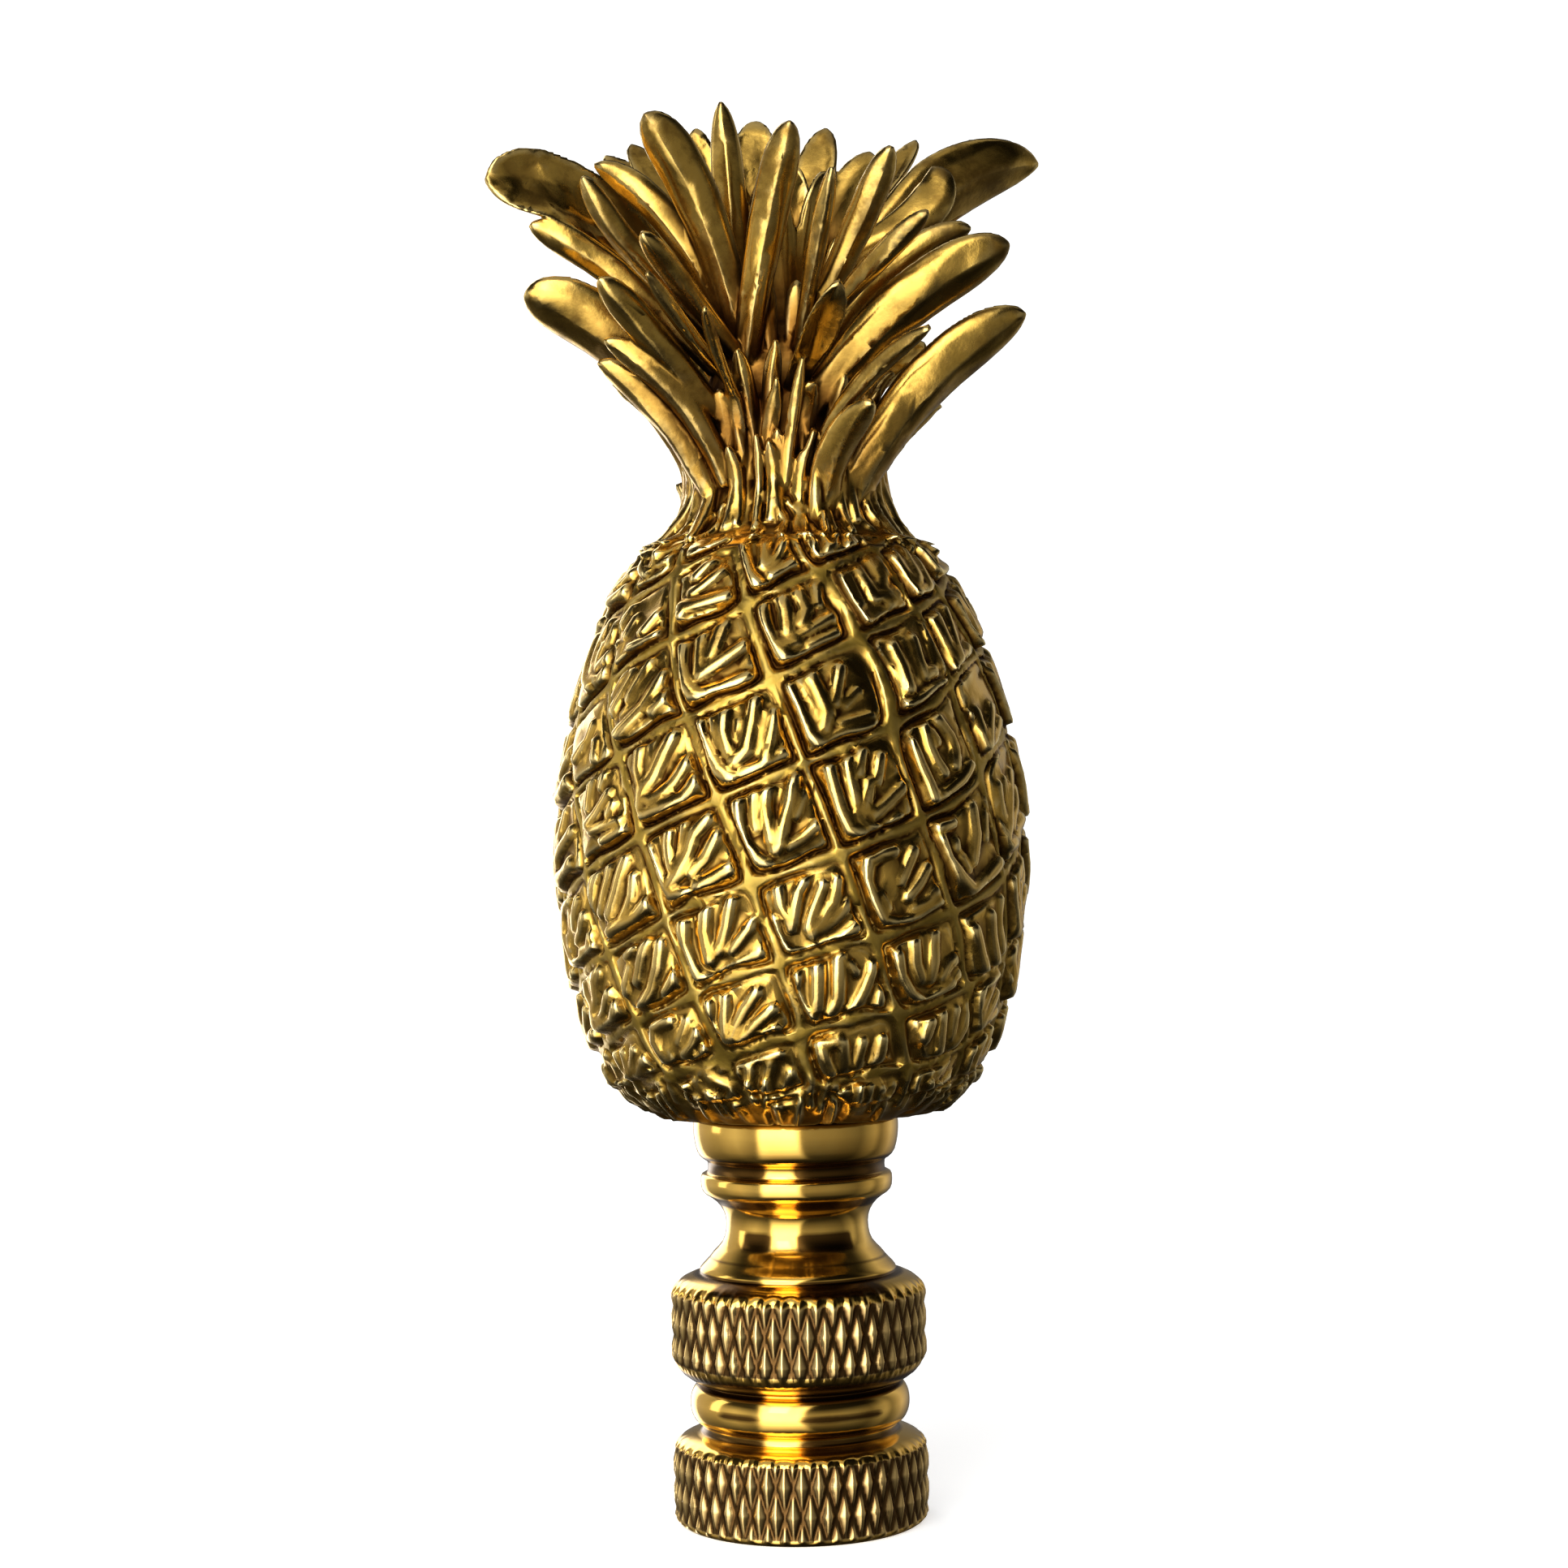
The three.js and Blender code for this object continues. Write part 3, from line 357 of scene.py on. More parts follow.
def add_leaf(field, row, n):
    """A blade with a rounded tip, swept along a quadratic curve: its section is an ellipse bent across, proud outside.
    Options: bend = how far the edges turn in, keel = share of roof shape, tip = where the tip begins to round,
    root = width share at the root, out, back = thickness shares, blunt = exponent of the tip."""
    ra, rr, rz, ma, mr, mz, ta, tr, tz, half_w, half_t, faces, *rest = row
    o = rest[0] if rest else {}
    limit = float(core_radius(np.array(max(rz, NECK_Z)))) - 0.15
    P0 = polar(ra, rr if o.get("free") else min(rr, max(limit, 0.3)), rz)
    M = polar(ma, mr, mz)
    P2 = polar(ta, tr, tz)
    P1 = 2 * M - 0.5 * (P0 + P2)
    D0, D1 = 2 * (P1 - P0), 2 * (P2 - 2 * P1 + P0)
    samples = np.linspace(0, 1, 15)
    curve = [(1 - t) ** 2 * P0 + 2 * t * (1 - t) * P1 + t * t * P2 for t in samples]
    reach = half_w + 0.9
    lo = np.maximum(((np.min(curve, 0) - reach - LO) / PITCH).astype(int), 0)
    hi = np.minimum(((np.max(curve, 0) + reach - LO) / PITCH).astype(int) + 2, [NX, NY, NZ])
    sl = tuple(slice(int(a), int(b)) for a, b in zip(lo, hi))
    x, y, z = np.meshgrid(GX[sl[0]], GY[sl[1]], GZ[sl[2]], indexing="ij")
    best = np.full(x.shape, 1e9, np.float32)
    tt = np.zeros(x.shape, np.float32)
    for t, c in zip(samples, curve):
        d = (x - c[0]) ** 2 + (y - c[1]) ** 2 + (z - c[2]) ** 2
        closer = d < best
        best[closer] = d[closer]
        tt[closer] = t
    pick = best < (reach + 0.6) ** 2
    x, y, z, t = x[pick].astype(float), y[pick].astype(float), z[pick].astype(float), tt[pick].astype(float)
    pt = np.stack([x, y, z], -1)
    for _ in range(3):
        c = P0 + t[:, None] * D0 + (t * t)[:, None] * D1 / 2
        d1 = D0 + t[:, None] * D1
        e = pt - c
        g = -(e * d1).sum(1)
        gg = (d1 * d1).sum(1) - (e * D1).sum(1)
        t = np.clip(t - g / np.maximum(gg, 0.2 * (d1 * d1).sum(1)), 0, 1)
    c = P0 + t[:, None] * D0 + (t * t)[:, None] * D1 / 2
    T = D0 + t[:, None] * D1
    T /= np.linalg.norm(T, axis=1)[:, None]
    hint = polar(faces, 1, o.get("droop", -0.35))
    twist = o.get("twist", 0)
    N = hint - (T @ hint)[:, None] * T
    N /= np.linalg.norm(N, axis=1)[:, None]
    S = np.cross(T, N)
    if twist:
        ang = np.radians(twist) * t
        N, S = N * np.cos(ang)[:, None] + S * np.sin(ang)[:, None], S * np.cos(ang)[:, None] - N * np.sin(ang)[:, None]
    e = pt - c
    u, v, over = (e * S).sum(1), (e * N).sum(1), np.abs((e * T).sum(1))
    start = o.get("tip", 0.70)
    root = o.get("root", 0.6)
    w = half_w * (root + (1 - root) * np.minimum(1, t / 0.55))
    tip = np.clip((t - start) / (1 - start), 0, 1)
    w = np.maximum(w * np.sqrt(np.maximum(0.0009, 1 - tip ** o.get("blunt", 2.3))), 0.14)
    th = half_t * (1 - 0.5 * t**3) * np.sqrt(np.maximum(0.04, 1 - tip**4))
    bend = o.get("bend", 0.3) * w * smooth(0.05, 0.5, t)
    across = np.clip(u / np.maximum(w, 0.05), -1.6, 1.6)
    v = v + bend * across**2
    h = np.where(v > 0, th * o.get("out", 0.9), th * o.get("back", 0.6))
    keel = o.get("keel", 0.5)
    h = h * (1 - keel * np.minimum(1, np.abs(across)) * (1 - np.minimum(1, np.abs(across))) * 1.6)
    h = np.maximum(h, np.minimum(0.24, 0.6 * half_t))
    inside = smooth(0.98, 0.55, np.abs(across)) * smooth(1.0, 0.92, t)
    # light waves along the blade, as cast
    rng = np.random.default_rng(100 + n)
    a1, a2, a3 = rng.uniform(0, 6.28, 3)
    length = np.linalg.norm(P2 - P0)
    wave = 0.045 * np.sin(u * 3.4 + a1 + 1.3 * np.sin(t * length * 0.9 + a2)) + 0.035 * np.sin(t * length * 1.7 + u * 1.2 + a3)
    if "rough" in o:  # a pitted, coarsely cast face
        wave = wave + o["rough"] * (np.sin(u * 3.1 + 2 * np.sin(t * length * 1.3)) * np.sin(t * length * 2.3 + 1.5 * np.sin(u * 2.1)) + 0.5 * np.sin(u * 5.1 + t * length * 3.9))
    k0 = np.sqrt((u / w) ** 2 + (v / h) ** 2)
    k1 = np.sqrt((u / w**2) ** 2 + (v / h**2) ** 2)
    d = k0 * (k0 - 1) / np.maximum(k1, 1e-6)
    d = np.where(k0 < 1e-3, -np.minimum(w, h), d) - wave * smooth(0, 0.25, t) * inside
    d = np.where(over > 0.02, np.maximum(d, 0) + over, d)
    cur = field[sl]
    old = cur[pick]
    cur[pick] = merge(old, d.astype(np.float32), o.get("fuse", 0.16))
    field[sl] = cur


# Leaves: root, middle and tip as azimuth, radius and height, half width, half thickness, the azimuth its outer face
# looks to, and options. Azimuth 0 is +X and -90 is the front.
FRONT_LEAVES = [
# <front>
    (-92, 4.7, 48.8, -88, 4.9, 52.3, -81, 6.1, 56.9, 0.35, 0.42, -88, {'root': 0.9, 'bend': 0.1}),  # spoon_stem
    (-83, 5.7, 55.7, -77, 7.0, 57.8, -74, 9.7, 59.8, 0.89, 0.62, -77, {'bend': -0.6, 'out': 0.4, 'back': 0.6, 'tip': 0.6}),  # spoon
    (-82, 4.8, 48.6, -82, 4.8, 50.8, -75, 5.6, 53.4, 0.25, 0.35, -82, {'root': 0.9, 'bend': 0.1}),  # stem2
    (-65, 4.8, 48.8, -68, 6.0, 51.8, -63, 9.2, 54.3, 0.90, 0.75, -75, {'root': 0.8}),  # a17
    (-72, 6.3, 46.5, -75, 5.4, 48.7, -75, 5.6, 51.6, 0.31, 0.42, -75, {'root': 0.9, 'bend': 0.1}),  # a17_rim
    (-73, 4.5, 52.0, -61, 7.3, 55.2, -53, 11.4, 57.6, 0.52, 0.60, -70),  # a16
    (-46, 3.9, 49.4, -32, 7.5, 55.0, -21, 12.6, 59.1, 1.42, 0.95, -58),  # a15
    (-23, 3.8, 49.5, -23, 5.2, 53.3, -18, 8.4, 55.6, 0.72, 0.80, -45),  # a15_under
    (-69, 3.8, 54.7, -44, 7.8, 59.0, -30, 12.6, 62.1, 1.44, 0.90, -65),  # a14
    (-39, 2.4, 58.0, -18, 5.8, 61.8, -13, 9.6, 63.8, 0.84, 0.70, -50),  # a14_back
    (-66, 4.4, 58.4, -57, 7.7, 60.9, -51, 11.0, 63.2, 0.60, 0.62, -72),  # a13
    (29, 1.7, 58.4, 12, 7.4, 65.7, 19, 14.1, 68.5, 1.89, 0.95, -60, {'keel': 0.55, 'bend': 0.25, 'tip': 0.58, 'blunt': 1.9, 'root': 0.3}),  # a12
    (0, 5.7, 61.7, -6, 6.5, 64.4, 0, 7.7, 67.3, 1.13, 0.45, -100, {'keel': 0.0, 'bend': 0.0, 'tip': 0.66, 'out': 1.0, 'droop': 0.12}),  # a12_fold
    (89, 2.0, 59.9, 44, 5.8, 65.7, 40, 9.4, 70.1, 0.83, 0.70, 60),  # a11
    (-75, 3.1, 57.8, -55, 6.1, 62.8, -51, 8.5, 66.8, 0.80, 0.68, -80),  # a10
    (76, 1.0, 59.7, 39, 3.2, 64.0, 35, 5.7, 68.9, 1.32, 0.75, 70),  # a10_back
    (-77, 3.5, 57.7, -74, 5.7, 61.6, -72, 8.0, 65.6, 0.49, 0.60, -88),  # a9
    (88, 1.0, 59.7, 66, 2.9, 65.0, 60, 4.9, 70.4, 1.12, 0.75, 80),  # a8
    (-122, 3.5, 57.2, -100, 4.6, 63.0, -85, 6.2, 68.2, 0.96, 0.75, -90, {'tip': 0.74}),  # a7
    (135, 1.4, 59.7, 121, 2.6, 65.0, 108, 3.8, 70.7, 1.36, 0.80, 90),  # a7_back
    (-154, 2.7, 58.1, -147, 2.9, 63.7, -143, 3.6, 70.2, 0.84, 0.75, -90),  # a6
    (-128, 3.8, 58.0, -134, 5.5, 64.3, -139, 8.6, 68.8, 1.18, 0.80, -98, {'tip': 0.76}),  # a5
    (158, 2.6, 59.8, 149, 3.9, 64.9, 145, 5.2, 70.2, 0.95, 0.75, 95),  # a56_back
    (158, 2.6, 59.8, 156, 5.3, 65.0, 151, 8.8, 69.7, 0.95, 0.75, 110),  # a5_back
    (-140, 3.4, 58.0, -153, 5.8, 63.7, -166, 9.4, 67.2, 0.84, 0.72, -110),  # a3
    (162, 3.2, 59.8, 152, 6.3, 65.5, 151, 10.4, 69.3, 0.87, 0.72, 120),  # a3_back
    (-124, 4.8, 57.2, -128, 7.6, 60.2, -129, 10.5, 62.5, 0.62, 0.62, -100),  # a4
    (-138, 4.5, 57.8, -146, 8.6, 62.2, -147, 11.3, 65.7, 0.67, 0.66, -108),  # a2
    (172, 3.5, 58.0, -171, 9.0, 64.5, -168, 14.8, 66.3, 1.77, 0.85, 130, {'bend': 0.42, 'back': 0.45, 'tip': 0.74, 'droop': -0.08, 'rough': 0.04, 'root': 0.5}),  # a1
    (-160, 4.3, 57.1, -163, 8.4, 61.6, -166, 12.7, 64.1, 0.84, 0.70, -140, {'bend': 0.1, 'droop': 0.2}),  # a1_under
    (-119, 5.0, 55.4, -125, 7.8, 58.0, -126, 10.8, 60.5, 0.41, 0.55, -98),  # b3
    (-114, 5.0, 54.2, -117, 6.8, 56.8, -114, 9.0, 58.9, 0.33, 0.50, -94),  # b4
    (-128, 4.9, 53.9, -136, 8.3, 57.5, -139, 11.5, 60.5, 0.89, 0.75, -108),  # b2
    (-152, 4.3, 53.4, -158, 8.5, 57.9, -162, 13.2, 60.5, 1.71, 0.95, -125),  # b1
    (-128, 4.8, 51.1, -136, 7.0, 55.1, -147, 10.2, 57.9, 0.78, 0.75, -112),  # b6
    (-140, 5.0, 50.5, -147, 6.9, 54.3, -155, 9.9, 57.1, 0.83, 0.85, -130),  # b5
    (-108, 4.2, 52.3, -112, 4.5, 54.8, -113, 5.7, 57.4, 0.51, 0.60, -92),  # h1
    (-98, 4.0, 52.3, -99, 4.2, 54.8, -94, 4.8, 57.9, 0.47, 0.60, -90),  # h2
# </front>
]
BACK_LEAVES = [
    (62, 2.8, 50.0, 30, 7.1, 55.9, 20, 12.9, 60.2, 1.17, 0.95, 50),
    (77, 3.5, 56.0, 42, 7.2, 60.8, 27, 12.8, 64.3, 1.26, 0.9, 60),
    (148, 3.7, 54.0, 159, 8.4, 58.9, 163, 13.2, 61.8, 1.37, 0.95, 130),
    (154, 3.4, 58.2, 156, 8.8, 65.2, 159, 14.4, 68.0, 1.17, 0.85, 128),
    (139, 4.8, 51.3, 146, 6.8, 55.3, 153, 10.1, 57.9, 0.79, 0.85, 130),
    (67, 2.2, 59.1, 41, 6.8, 64.5, 41, 11.3, 67.9, 1.05, 0.8, 60),
    (117, 4.7, 53.6, 125, 8.6, 57.9, 133, 12.1, 61.5, 0.94, 0.8, 112),
    (111, 4.8, 54.5, 116, 8.4, 58.8, 117, 11.5, 63.3, 0.9, 0.75, 100),
    (101, 4.6, 54.5, 101, 7.9, 59.3, 100, 11.2, 64.7, 0.99, 0.78, 92),
    (91, 4.5, 54.5, 87, 7.8, 59.7, 84, 11.3, 64.2, 0.86, 0.72, 86),
    (82, 4.3, 54.4, 71, 7.6, 59.1, 67, 10.9, 62.6, 0.94, 0.75, 78),
    (76, 3.9, 53.1, 56, 8.0, 57.3, 48, 11.3, 59.9, 0.89, 0.8, 66),
    (130, 3.9, 58.5, 130, 7.4, 63.6, 131, 10.9, 67.7, 0.89, 0.75, 112),
    (120, 3.7, 58.9, 117, 6.7, 64.5, 115, 9.3, 69.2, 0.93, 0.75, 100),
    (108, 3.4, 58.9, 100, 5.9, 64.9, 98, 8.1, 69.7, 0.97, 0.75, 92),
    (94, 3.0, 58.8, 81, 5.9, 64.4, 77, 8.8, 68.7, 0.85, 0.72, 84),
    (81, 2.8, 58.8, 61, 6.0, 63.8, 57, 9.1, 67.8, 0.88, 0.72, 72),
    (108, 5.1, 49.9, 113, 6.5, 53.9, 116, 9.1, 56.6, 0.8, 0.75, 104),
    (87, 4.9, 49.9, 81, 6.3, 53.8, 76, 9.1, 57.2, 0.85, 0.75, 84),
]
SIDE_LEAVES = [
    (0, 1.7, 50.9, 0, 6.2, 55.1, 1, 11.7, 59.4, 0.93, 0.95, 0),
    (12, 1.4, 56.3, 3, 5.6, 60.0, 1, 10.6, 63.0, 0.94, 0.9, -10),
    (8, 3.4, 49.7, 9, 5.0, 53.0, 9, 8.0, 55.6, 0.69, 0.8, 10),
    (180, 3.3, 53.5, 178, 7.6, 58.3, 180, 12.0, 61.0, 1.06, 0.95, 180),
    (180, 4.0, 50.6, 180, 5.7, 54.4, 180, 8.5, 56.8, 0.69, 0.85, 180),
    (-165, 4.0, 51.3, -165, 6.0, 56.1, -167, 9.1, 59.1, 0.88, 0.85, -160),
]
HEART_LEAVES = [
    (azimuth, 1.2, 56, azimuth, 1.4, 61.5, azimuth, r, z, 1.25, 0.9, azimuth)
    for azimuth, r, z in ((-110, 2.2, 66.5), (-20, 2.4, 67.0), (70, 2.0, 68.0), (160, 2.6, 67.5))
]




def strands():
    """Thin leaf bases laid round the neck and up the stalk, which close the gaps between the large leaves."""
    rng = np.random.default_rng(11)
    rows = []
    for n in range(44):
        a = n * 360 / 44 + rng.uniform(-3.5, 3.5)
        z0 = rng.uniform(47.7, 49.2)
        top = z0 + rng.uniform(3.2, 5.2)
        mid = (z0 + top) / 2
        lean = rng.uniform(-7, 7)
        rows.append((a, float(body_radius(z0)) - 0.05, z0, a + lean * 0.5, float(body_radius(mid)) + 0.22, mid, a + lean,
                     float(body_radius(top)) + rng.uniform(0.35, 0.9), top, rng.uniform(0.27, 0.46), 0.36, a,
                     {"free": 1, "root": 0.7, "bend": 0.1, "fuse": 0.10}))
    for n in range(34):
        a = n * 360 / 34 + rng.uniform(-5, 5)
        z0 = rng.uniform(50.6, 53.6)
        top = z0 + rng.uniform(3.0, 4.8)
        mid = (z0 + top) / 2
        lean = rng.uniform(-10, 10)
        rows.append((a, float(body_radius(z0)) - 0.1, z0, a + lean * 0.5, float(body_radius(mid)) + 0.4, mid, a + lean,
                     float(body_radius(top)) + rng.uniform(0.9, 2.0), top, rng.uniform(0.30, 0.50), 0.38, a,
                     {"free": 1, "root": 0.7, "bend": 0.1, "fuse": 0.10}))
    for n in range(22):
        a = n * 360 / 22 + rng.uniform(-6, 6)
        z0 = rng.uniform(54.5, 57.5)
        top = z0 + rng.uniform(3.5, 6.0)
        mid = (z0 + top) / 2
        rows.append((a, 2.2, z0, a, 3.0, mid, a, rng.uniform(3.0, 4.6), top, rng.uniform(0.40, 0.62), 0.42, a,
                     {"root": 0.8, "bend": 0.1, "fuse": 0.12}))
    return rows


def blur(a, n):
    """Mean over boxes of about n cells each way, twice, along each axis."""
    for _ in range(2):
        for axis in range(3):
            c = np.cumsum(a, axis=axis, dtype=np.float32)
            lead = np.take(c, [-1], axis=axis)
            first = np.zeros_like(lead)
            hi = np.concatenate([np.take(c, range(n, c.shape[axis]), axis=axis), np.repeat(lead, n, axis=axis)], axis)
            low = np.concatenate([np.repeat(first, n + 1, axis=axis), np.take(c, range(0, c.shape[axis] - n - 1), axis=axis)], axis)
            a = (hi - low) / (2 * n + 1)
    return a


def sample(grid, lo, step, points):
    """Trilinear values of a grid at points."""
    g = (points - lo) / step
    top = np.array(grid.shape) - 1.001
    g = np.clip(g, 0, top)
    i = g.astype(int)
    f = g - i
    out = np.zeros(len(points))
    for dx in (0, 1):
        for dy in (0, 1):
            for dz in (0, 1):
                w = np.abs(1 - dx - f[:, 0]) * np.abs(1 - dy - f[:, 1]) * np.abs(1 - dz - f[:, 2])
                out += w * grid[i[:, 0] + dx, i[:, 1] + dy, i[:, 2] + dz]
    return out


def mesh_object(name, points_mm, faces, smooth_shade=True):
    me = bpy.data.meshes.new(name)
    me.from_pydata((np.asarray(points_mm) * 0.001).tolist(), [], faces.tolist() if hasattr(faces, "tolist") else faces)
    me.validate()
    if smooth_shade:
        me.shade_smooth()
    ob = bpy.data.objects.new(name, me)
    scene.collection.objects.link(ob)
    return ob


def fast_mesh(name, points_mm, quads):
    """A mesh object from arrays of points and quads."""
    me = bpy.data.meshes.new(name)
    n, m = len(points_mm), len(quads)
    me.vertices.add(n)
    me.vertices.foreach_set("co", (np.asarray(points_mm, np.float32) * 0.001).ravel())
    me.loops.add(4 * m)
    me.loops.foreach_set("vertex_index", np.asarray(quads, np.int32).ravel())
    me.polygons.add(m)
    me.polygons.foreach_set("loop_start", np.arange(0, 4 * m, 4, dtype=np.int32))
    me.update(calc_edges=True)
    ob = bpy.data.objects.new(name, me)
    scene.collection.objects.link(ob)
    return ob


def set_attribute(me, name, values):
    a = me.attributes.get(name) or me.attributes.new(name, "FLOAT", "POINT")
    a.data.foreach_set("value", np.asarray(values, np.float32))


def build_casting():
    field = np.full((NX, NY, NZ), 1.0, np.float32)
    skin, *lines = make_skin()
    body_field(field, skin)
    rows = FRONT_LEAVES + BACK_LEAVES + SIDE_LEAVES + HEART_LEAVES + strands()
    for n, row in enumerate(rows):
        add_leaf(field, row, n)
    np.clip(field, -0.8, 0.8, out=field)
    grid = openvdb.FloatGrid()
    grid.copyFromArray(field)
    points, tris, quads = grid.convertToPolygons(isovalue=0.0, adaptivity=0.0)
    points = points * PITCH + LO
    # one body: keep the largest shell
    ob = fast_mesh("pineapple_casting", points, quads)
    me = ob.data
    mod = ob.modifiers.new("thin", "DECIMATE")
    mod.decimate_type = "COLLAPSE"
    mod.ratio = min(1.0, 196000 / (2 * len(quads)))
    deps = bpy.context.evaluated_depsgraph_get()
    thin = bpy.data.meshes.new_from_object(ob.evaluated_get(deps))
    ob.modifiers.clear()
    ob.data = thin
    bpy.data.meshes.remove(me)
    thin.calc_loop_triangles()
    co = np.zeros(len(thin.vertices) * 3, np.float32)
    thin.vertices.foreach_get("co", co)
    tris = np.zeros(len(thin.loop_triangles) * 3, np.int32)
    thin.loop_triangles.foreach_get("vertices", tris)
    points, tris = unpinch(co.reshape(-1, 3), tris.reshape(-1, 3))
    me = bpy.data.meshes.new("pineapple_casting")
    me.vertices.add(len(points))
    me.vertices.foreach_set("co", points.ravel())
    me.loops.add(tris.size)
    me.loops.foreach_set("vertex_index", tris.ravel())
    me.polygons.add(len(tris))
    me.polygons.foreach_set("loop_start", np.arange(0, tris.size, 3, dtype=np.int32))
    me.update(calc_edges=True)
    ob.data = me
    bpy.data.meshes.remove(thin)
    ob.data.shade_smooth()
    shade(ob.data, field, lines)
    return ob


def shade(me, field, lines):
    """Notes at each point how sunk it is, how closed in by what stands round it and how far it is from the net's lines."""
    n = len(me.vertices)
    co = np.zeros(n * 3, np.float32)
    me.vertices.foreach_get("co", co)
    co = co.reshape(-1, 3).astype(float) * 1000
    normal = np.zeros(n * 3, np.float32)
    me.vertices.foreach_get("normal", normal)
    normal = normal.reshape(-1, 3)
    full = np.clip(0.5 - field / PITCH, 0, 1).astype(np.float32)
    fine = blur(full, max(1, round(0.16 / PITCH)))
    set_attribute(me, "sunk", sample(fine, LO, PITCH, co))
    half = full[: NX // 2 * 2, : NY // 2 * 2, : NZ // 2 * 2]
    half = half.reshape(NX // 2, 2, NY // 2, 2, NZ // 2, 2).mean((1, 3, 5))
    lo, step = LO + PITCH / 2, 2 * PITCH
    mid = blur(half, max(1, round(0.42 / step)))
    broad = blur(half, max(1, round(1.2 / step)))
    set_attribute(me, "hollow", sample(mid, lo, step, co))
    # how closed in each point is by what stands out along its normal, used for painted shade
    near = sample(mid, lo, step, co + 0.55 * normal)
    far = sample(broad, lo, step, co + 1.7 * normal)
    set_attribute(me, "crevice", 0.5 * near + 0.5 * far)
    set_attribute(me, "deep", sample(broad, lo, step, co))
    col = np.floor((np.degrees(np.arctan2(co[:, 1], co[:, 0])) + 180) / 360 * N_TH).astype(int) % N_TH
    row = np.clip(np.round((co[:, 2] - ZZ[0]) / (ZZ[-1] - ZZ[0]) * (N_Z - 1)), 0, N_Z - 1).astype(int)
    on = smooth(21.4, 22.4, co[:, 2]) * smooth(FRUIT_TOP, FRUIT_TOP - 0.8, co[:, 2])
    set_attribute(me, "seam", 1 - on * (1 - np.clip(lines[0][row, col], 0, 1)))
    set_attribute(me, "side", lines[1][row, col])
    # painted shade: the fruit's foot is marked where it faces down, to be darkened
    set_attribute(me, "painted_underside_shade", smooth(21.0, 20.5, co[:, 2]) * smooth(-0.25, -0.6, normal[:, 2]))


def unpinch(points, tris):
    """Parts the surface where two folds of it share an edge, and keeps the largest shell."""
    points, tris = points.copy(), tris.copy()
    for _ in range(4):
        pairs = np.sort(np.concatenate([tris[:, [0, 1]], tris[:, [1, 2]], tris[:, [2, 0]]]), axis=1).astype(np.int64)
        key = pairs[:, 0] * len(points) + pairs[:, 1]
        values, counts = np.unique(key, return_counts=True)
        bad = values[counts > 2]
        if not len(bad):
            break
        bad_set = {int(b) for b in bad}
        corners = {int(v) for b in bad for v in divmod(int(b), len(points))}
        total = len(points)
        extra = []
        for v in sorted(corners):
            faces = np.nonzero((tris == v).any(1))[0].tolist()
            group = {f: f for f in faces}

            def root(f):
                while group[f] != f:
                    f = group[f]
                return f

            by_edge = {}
            for f in faces:
                for w in tris[f].tolist():
                    if w != v and min(v, w) * total + max(v, w) not in bad_set:
                        by_edge.setdefault(w, []).append(f)
            for fs in by_edge.values():
                for f in fs[1:]:
                    group[root(f)] = root(fs[0])
            fans = sorted({root(f) for f in faces})
            for fan in fans[1:]:
                new = total + len(extra)
                extra.append(points[v])
                for f in faces:
                    if root(f) == fan:
                        tris[f][tris[f] == v] = new
        if extra:
            points = np.concatenate([points, np.array(extra, points.dtype)])
        else:
            break
    label = np.arange(len(points))
    edges = np.concatenate([tris[:, [0, 1]], tris[:, [1, 2]]])
    while True:
        low = np.minimum(label[edges[:, 0]], label[edges[:, 1]])
        new = label.copy()
        np.minimum.at(new, edges[:, 0], low)
        np.minimum.at(new, edges[:, 1], low)
        new = new[new]
        if (new == label).all():
            break
        label = new
    values, counts = np.unique(label[tris[:, 0]], return_counts=True)
    tris = tris[label[tris[:, 0]] == values[counts.argmax()]]
    used = np.unique(tris)
    place = np.zeros(len(points), np.int64)
    place[used] = np.arange(len(used))
    return points[used], place[tris].astype(np.int32)


casting = build_casting()

# ---- turned base --------------------------------------------------------------
KNURLS = 46
COLUMNS = KNURLS * 8
BASE_TOP = 20.05
HOLE_DEPTH = 10
THREAD_PITCH = 0.94


